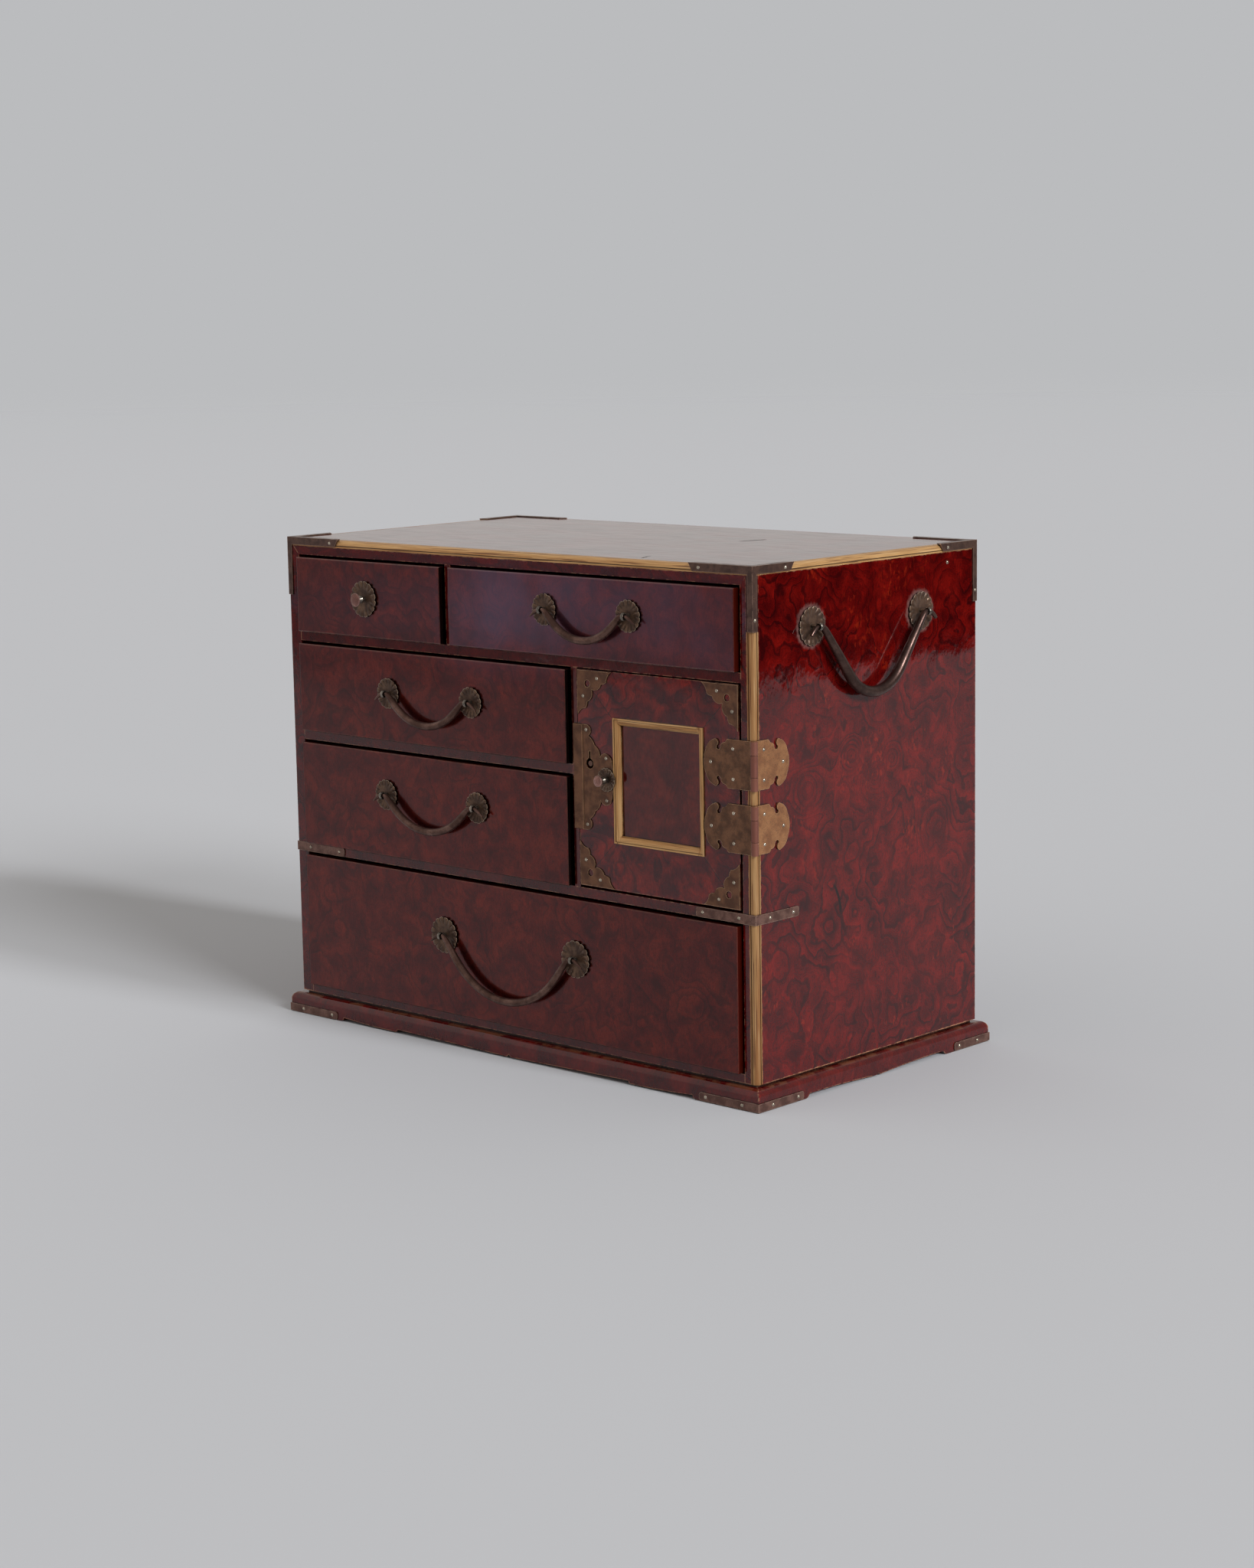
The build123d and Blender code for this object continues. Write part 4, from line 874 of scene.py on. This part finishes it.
def done(piece, angle=40):
    """Leave edit mode and shade smooth up to an angle."""
    bpy.ops.object.mode_set(mode="OBJECT")
    bpy.ops.object.shade_smooth_by_angle(angle=math.radians(angle))
    return piece


def joined(name, pieces):
    """One object from several, its place in its mesh."""
    bpy.ops.object.select_all(action="DESELECT")
    for piece in pieces:
        piece.select_set(True)
    bpy.context.view_layer.objects.active = pieces[0]
    if len(pieces) > 1:
        bpy.ops.object.join()
    bpy.ops.object.transform_apply(location=True, rotation=True, scale=True)
    piece = bpy.context.object
    piece.name = name
    return piece


def copy_of(piece, spot, turn):
    """A copy with its own mesh at a place, turned about the vertical."""
    twin = piece.copy()
    twin.data = piece.data.copy()
    bpy.context.scene.collection.objects.link(twin)
    twin.location = spot
    twin.rotation_euler = (0, 0, turn)
    return twin


def forget(*pieces):
    for piece in pieces:
        bpy.data.objects.remove(piece, do_unlink=True)


def body_of_node(node):
    """The body that a CAD node rides on."""
    return body_of(NODES[node])[0]


# %% [markdown]
# ## Drawer fronts
# Each drawer front stands a few millimetres proud of the case, and its edges are rounded by wear. A
# cube is brought to the front's size and its edges are bevelled in three steps. The long front
# edges get one more, slight round.

# %% Drawer fronts
EDGE_ROUND, FACE_ROUND = 0.5 * MM, 0.25 * MM
PICK_SLACK = 0.05 * MM


def drawer_front(name, node):
    low, high = (Vector(corner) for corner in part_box(node))
    face = low.y - (low.y + high.y) / 2
    piece = start(bpy.ops.mesh.primitive_cube_add, size=1, location=(low + high) / 2)
    bpy.ops.transform.resize(value=high - low)
    bpy.ops.mesh.bevel(offset=EDGE_ROUND, segments=3, affect="EDGES")
    pick(piece, lambda p: p.y < face + PICK_SLACK)
    bpy.ops.mesh.bevel(offset=FACE_ROUND, segments=2, affect="EDGES")
    done(piece, 5)
    dress(piece, "front_lacquer")
    piece = joined(name, [piece])
    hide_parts(node)
    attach(piece, body_of_node(node))
    print(name, len(piece.data.polygons), "faces")


for drawer in ("upper_left", "upper_right", "middle", "lower", "bottom"):
    drawer_front(drawer + "_front", drawer + "_drawer_front")

# %% [markdown]
# ## Rosettes
# Each pull hangs on round bronze rosettes with sixteen embossed petals. A disc is inset to rings.
# The outer rings are raised to a shallow dish, the rim's points between the petals are drawn in,
# and the petals' middles are set higher than the grooves between them. A Solidify modifier gives
# the sheet its thickness. The rosette lies in the XZ plane and faces -Y, ready for the drawers.

# %% Rosette
PETALS, CORNERS_IN_PETAL = 16, 6
SHEET, DISH = 0.0007, 0.0007
# All bands are shares of the radius, all rises are in metres.
INSETS = (0.07, 0.13, 0.14, 0.18, 0.12)
RIM, INNER, EMBOSSED_BAND = (0.96, 1.10), (0.90, 0.96), (0.77, 0.95)
DISH_STEPS = (
    (RIM, DISH), (INNER, DISH + 0.0001), ((0.76, 0.90), 0.9 * DISH), ((0.60, 0.76), 0.6 * DISH),
    ((0.40, 0.60), 0.4 * DISH),
)
# (band, the phase up to which points are drawn in, the share of their radius that they keep)
SCALLOPS = ((RIM, 0.1, 0.88), (RIM, 0.4, 0.97), (INNER, 0.1, 0.92), (INNER, 0.4, 0.98))
PHASE_SPAN = 0.3
# (lowest phase, highest phase, rise)
PETAL_STEPS = ((0.9, 1.1, 0.0003), (0.5, 0.9, 0.00018), (-0.1, 0.2, -0.0004))


def phase(point):
    """Where a point lies in its petal: 0 in the groove, 1 in the middle."""
    turn = math.atan2(point.z, point.x) / (2 * math.pi) * PETALS
    return 1 - abs(2 * (turn % 1.0) - 1)


def ring(radius, band):
    """A test for the points between two shares of the radius."""
    low, high = band
    return lambda p: low * radius < math.hypot(p.x, p.z) < high * radius


def rosette(radius):
    piece = start(
        bpy.ops.mesh.primitive_circle_add, vertices=CORNERS_IN_PETAL * PETALS, radius=radius,
        fill_type="NGON", rotation=(math.radians(90), 0, 0),
    )
    bpy.ops.object.mode_set(mode="OBJECT")
    bpy.ops.object.transform_apply(location=True, rotation=True, scale=True)
    bpy.ops.object.mode_set(mode="EDIT")
    for share in INSETS:
        bpy.ops.mesh.inset(thickness=share * radius, depth=0)
    for band, rise in DISH_STEPS:
        pick(piece, ring(radius, band))
        bpy.ops.transform.translate(value=(0, -rise, 0))
    for band, limit, share in SCALLOPS:
        on = ring(radius, band)
        pick(piece, lambda p: on(p) and limit - PHASE_SPAN < phase(p) < limit)
        bpy.ops.transform.resize(value=(share, 1, share), center_override=(0, 0, 0))
    on = ring(radius, EMBOSSED_BAND)
    for low, high, rise in PETAL_STEPS:
        pick(piece, lambda p: on(p) and low < phase(p) < high)
        bpy.ops.transform.translate(value=(0, -rise, 0))
    bpy.ops.object.mode_set(mode="OBJECT")
    wall = piece.modifiers.new("wall", "SOLIDIFY")
    wall.thickness = SHEET
    wall.offset = 1
    bpy.ops.object.modifier_apply(modifier="wall")
    bpy.ops.object.mode_set(mode="EDIT")
    bpy.ops.mesh.select_all(action="SELECT")
    bpy.ops.mesh.normals_make_consistent(inside=False)
    dress(piece, "rosette_bronze")
    return done(piece, 50)


# %% [markdown]
# ## Eye posts
# The pulls turn in eyes of bent wire. The two ends of the wire pass through the rosette and the
# board and are bent over behind it. The eye is a torus, stretched a little along the pin; the shank
# is a slim cylinder, and the bent ends are two flat legs.

# %% Eye post
EYE_RADIUS, EYE_WIRE, EYE_STRETCH = 1.78 * MM, 0.6 * MM, 1.45
SHANK_RADIUS, SHANK_START = 1.15 * MM, 1.9 * MM
LEG_SIZE, LEG_INSET, LEG_ROUND = (2.2 * MM, 0.8 * MM, 12 * MM), 0.4 * MM, 0.3 * MM
QUARTER = math.radians(90)


def eye_post(out, back):
    """An eye on its shank. The eye is out in front of the wall, the legs end at back behind it."""
    eye = start(
        bpy.ops.mesh.primitive_torus_add, major_radius=EYE_RADIUS, minor_radius=EYE_WIRE,
        major_segments=28, minor_segments=10, rotation=(0, QUARTER, 0), location=(0, -out, 0),
    )
    bpy.ops.transform.resize(value=(EYE_STRETCH, 1, 1), center_override=(0, -out, 0))
    done(eye)
    length = out - SHANK_START + back - LEG_INSET
    shank = start(
        bpy.ops.mesh.primitive_cylinder_add, vertices=16, radius=SHANK_RADIUS, depth=length,
        rotation=(QUARTER, 0, 0), location=(0, length / 2 - out + SHANK_START, 0),
    )
    done(shank)
    legs = start(bpy.ops.mesh.primitive_cube_add, size=1, location=(0, back - LEG_INSET, 0))
    bpy.ops.transform.resize(value=LEG_SIZE)
    bpy.ops.mesh.select_all(action="SELECT")
    bpy.ops.mesh.bevel(offset=LEG_ROUND, segments=2, affect="EDGES")
    done(legs)
    for piece in (eye, shank, legs):
        dress(piece, "eye_metal")
    return joined("eye_post", [eye, shank, legs])


def mounts(name, node, radius, out, back, places):
    """Rosettes and eye posts at places (spot on the wall, turn), for a CAD node of mounts."""
    low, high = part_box(node)
    plate = rosette(radius * MM)
    post = eye_post(out * MM, back)
    parts = [copy_of(p, spot, turn) for spot, turn in places for p in (plate, post)]
    forget(plate, post)
    piece = joined(name, parts)
    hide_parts(node)
    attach(piece, body_of_node(node))
    size = [round((a - b) * 1000, 2) for b, a in zip(low, high)]
    print(name, len(piece.data.polygons), "faces for a node of", size, "mm")


# %% [markdown]
# ## Where the pulls sit
# The middles of the pulls on the drawers, and how far their eyes are apart, are the part's own
# measures. How far the eye posts reach behind the front comes from the box of their node.

# %% Where the pulls sit
DRAWER_FACE = -0.09675
DRAWER_EYE_OUT = 4.3
PULLS = {  # (x, z, between the eyes, sag of the bow, radius of the rosettes), the last three in mm
    "upper_right": (0.06565, 0.25675, 62.3, 14.8, 8.5),
    "middle": (-0.0588, 0.20075, 67.7, 15.9, 8.5),
    "lower": (-0.0591, 0.14125, 74.9, 17.3, 8.5),
    "bottom": (0.0011, 0.0644, 104.0, 31.0, 10.2),
}
for drawer, (x, z, span, _, radius) in PULLS.items():
    node = drawer + "_drawer_bail_mounts"
    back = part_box(node)[1][1] - DRAWER_FACE
    spots = [((x + side * span / 2 * MM, DRAWER_FACE, z), 0) for side in (-1, 1)]
    mounts(drawer + "_pull_mounts", node, radius, DRAWER_EYE_OUT, back, spots)

# %% [markdown]
# ## Bails
# A bail is one forged rod: a round bow, two legs that thin towards the eyes, a pin through each eye
# and a short bent tail that keeps it there. A bent rod is quickest as a smooth path whose points
# carry the rod's radius, made a mesh at the end.

# %% Bent rod
def bent_rod(name, points):
    """A rod along a smooth path. points are (x, y, z, radius) in millimetres."""
    bpy.ops.object.select_all(action="DESELECT")
    bpy.ops.curve.primitive_nurbs_path_add()
    piece = bpy.context.object
    path = piece.data.splines[0]
    path.points.add(len(points) - len(path.points))
    for point, (x, y, z, radius) in zip(path.points, points):
        point.co = (x * MM, y * MM, z * MM, 1)
        point.radius = radius
    path.use_endpoint_u = True
    path.order_u = 4
    piece.data.bevel_depth = MM
    piece.data.bevel_resolution = 5
    piece.data.resolution_u = 8
    piece.data.use_fill_caps = True
    bpy.ops.object.convert(target="MESH")
    piece = bpy.context.object
    piece.name = name
    bpy.ops.object.shade_smooth()
    return piece


# %% Bails
KNEE, BOW_STEPS, LEG_SHARES = 3.0, 5, (0.3, 0.6, 0.85)
PIN_PATH = ((-1.2, 0.0), (0.2, 0.0), (1.6, 0.0), (3.0, -0.6))
POINTED = ((4.6, -1.6, 0.9), (6.4, -2.9, 0.6), (7.6, -3.8, 0.35))
BLUNT = ((4.6, -1.9, 1.15), (5.8, -3.2, 1.1), (6.6, -4.2, 1.0))
EYE_PLANE = -0.10105


def bail_points(span, sag, thick, end, bow_share, pin, tail):
    """One half of a bail's path, from the middle of the bow to the tail, in millimetres."""
    half = span / 2
    knee = half - KNEE
    bow = bow_share * (knee**2 + sag**2) / (2 * sag)
    middle = bow - sag
    leg_turn = math.atan2(-middle, knee) - math.acos(bow / math.hypot(knee, middle))
    first = -math.pi / 2
    step = (leg_turn - first) / BOW_STEPS
    grown = bow * 3 / (2 + math.cos(step))
    points = []
    for i in range(BOW_STEPS + 1):
        turn = first + i * step
        points.append((grown * math.cos(turn), 0, middle + grown * math.sin(turn), thick))
    touch = (bow * math.cos(leg_turn), middle + bow * math.sin(leg_turn))
    for share in LEG_SHARES:
        x = touch[0] + share * (knee - touch[0])
        z = touch[1] * (1 - share)
        points.append((x, 0, z, thick + (end - thick) * share))
    points.append((knee + 0.4, 0, 0.1, end * 0.95))
    points += [(half + x, 0, z, pin) for x, z in PIN_PATH]
    points += [(half + x, 0, z, r) for x, z, r in tail]
    return points


def bail(name, node, spot, turn, finish, **shape):
    half = bail_points(**shape)
    points = [(-x, y, z, r) for x, y, z, r in reversed(half)] + half[1:]
    piece = bent_rod(name, points)
    piece.location = spot
    piece.rotation_euler = (0, 0, turn)
    dress(piece, finish)
    piece = joined(name, [piece])
    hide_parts(node)
    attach(piece, body_of_node(node))
    print(name, len(piece.data.polygons), "faces")


for drawer, (x, z, span, sag, _) in PULLS.items():
    bail(drawer + "_pull", drawer + "_drawer_bail", (x, EYE_PLANE, z), 0, "dark_bronze",
         span=span, sag=sag, thick=2.2, end=1.5, bow_share=0.93, pin=1.05, tail=POINTED)

# %% [markdown]
# ## Handles on the ends
# The two drop handles are larger bails of the same kind, with blunt tails cut square.

# %% End handles
END_FACE, END_MIDDLE, EYE_APART, EYE_RISE = 0.180, 0.00035, 0.04675, 0.252
END_EYE_OUT, END_ROSETTE, END_BACK = 6.0, 10.2, 0.0085 + 0.0008
END_EYES = (END_MIDDLE - EYE_APART, END_MIDDLE + EYE_APART)

spots = [((side * END_FACE, y, EYE_RISE), side * QUARTER) for side in (1, -1) for y in END_EYES]
mounts("handle_mount_set", "handle_mounts", END_ROSETTE, END_EYE_OUT, END_BACK, spots)
for side, which in ((1, "right"), (-1, "left")):
    spot = (side * (END_FACE + END_EYE_OUT * MM), END_MIDDLE, EYE_RISE)
    bail(which + "_drop_handle", which + "_handle", spot, side * QUARTER, "handle_bronze",
         span=93.5, sag=39.0, thick=3.0, end=1.9, bow_share=0.62, pin=1.05, tail=BLUNT)

# %% [markdown]
# ## Knobs
# The two knobs are turned: a neck with a beaded waist and a flat cap with a rounded rim. A profile
# is drawn point by point with extrude and spun about its axis.

# %% Turned knobs
TURNING_STEPS, MERGE_WITHIN = 40, 0.000005
DRAWER_KNOB_SPOT = (-0.1111, DRAWER_FACE, 0.25415)
DOOR_KNOB_SPOT = (0.0759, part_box("door_frame")[0][1], 0.16635)


def turned(profile, finish):
    """Spin a profile about the Y axis. It has (radius, forward reach) points, in millimetres."""
    piece = start(bpy.ops.mesh.primitive_plane_add, size=2 * MM)
    bpy.ops.mesh.merge(type="CENTER")
    first = profile[0]
    bpy.ops.mesh.select_all(action="SELECT")
    bpy.ops.transform.translate(value=(first[0] * MM, -first[1] * MM, 0))
    for (r0, y0), (r1, y1) in zip(profile, profile[1:]):
        step = ((r1 - r0) * MM, -(y1 - y0) * MM, 0)
        bpy.ops.mesh.extrude_region_move(TRANSFORM_OT_translate={"value": step})
    bpy.ops.mesh.select_all(action="SELECT")
    bpy.ops.mesh.spin(steps=TURNING_STEPS, angle=2 * math.pi, center=(0, 0, 0), axis=(0, 1, 0))
    bpy.ops.mesh.select_all(action="SELECT")
    bpy.ops.mesh.remove_doubles(threshold=MERGE_WITHIN)
    bpy.ops.mesh.normals_make_consistent(inside=False)
    done(piece, 35)
    dress(piece, finish)
    return piece


def knob_on(name, node, spot, radius, length, cap, waist):
    back = (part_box(node)[1][1] - spot[1]) / MM
    stem = turned([
        (0, -back), (1.3, -back), (1.3, 0.5), (1.5, 1.2), (1.4, 1.7), (waist * 0.9, 2.4),
        (waist, 3.2), (waist * 0.92, 4.0), (1.5, 4.7), (1.35, 5.4), (1.5, length - 1.4),
        (0, length - 1.4),
    ], "eye_metal")
    head = turned([
        (0, length - 1.5), (cap * 0.86, length - 1.5), (cap, length - 1.15), (cap, length - 0.75),
        (cap * 0.92, length - 0.45), (cap * 0.78, length - 0.4), (cap * 0.7, length - 0.25),
        (cap * 0.4, length - 0.05), (0, length),
    ], "copper")
    plate = rosette(radius * MM)
    piece = joined(name, [copy_of(p, spot, 0) for p in (plate, stem, head)])
    forget(plate, stem, head)
    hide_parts(node)
    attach(piece, body_of_node(node))
    print(name, len(piece.data.polygons), "faces, back at", round(back, 2), "mm")


knob_on("drawer_knob", "upper_left_drawer_knob", DRAWER_KNOB_SPOT,
        radius=10.2, length=8.2, cap=3.9, waist=2.4)
knob_on("cupboard_knob", "door_knob", DOOR_KNOB_SPOT,
        radius=6.1, length=8.6, cap=3.1, waist=2.2)
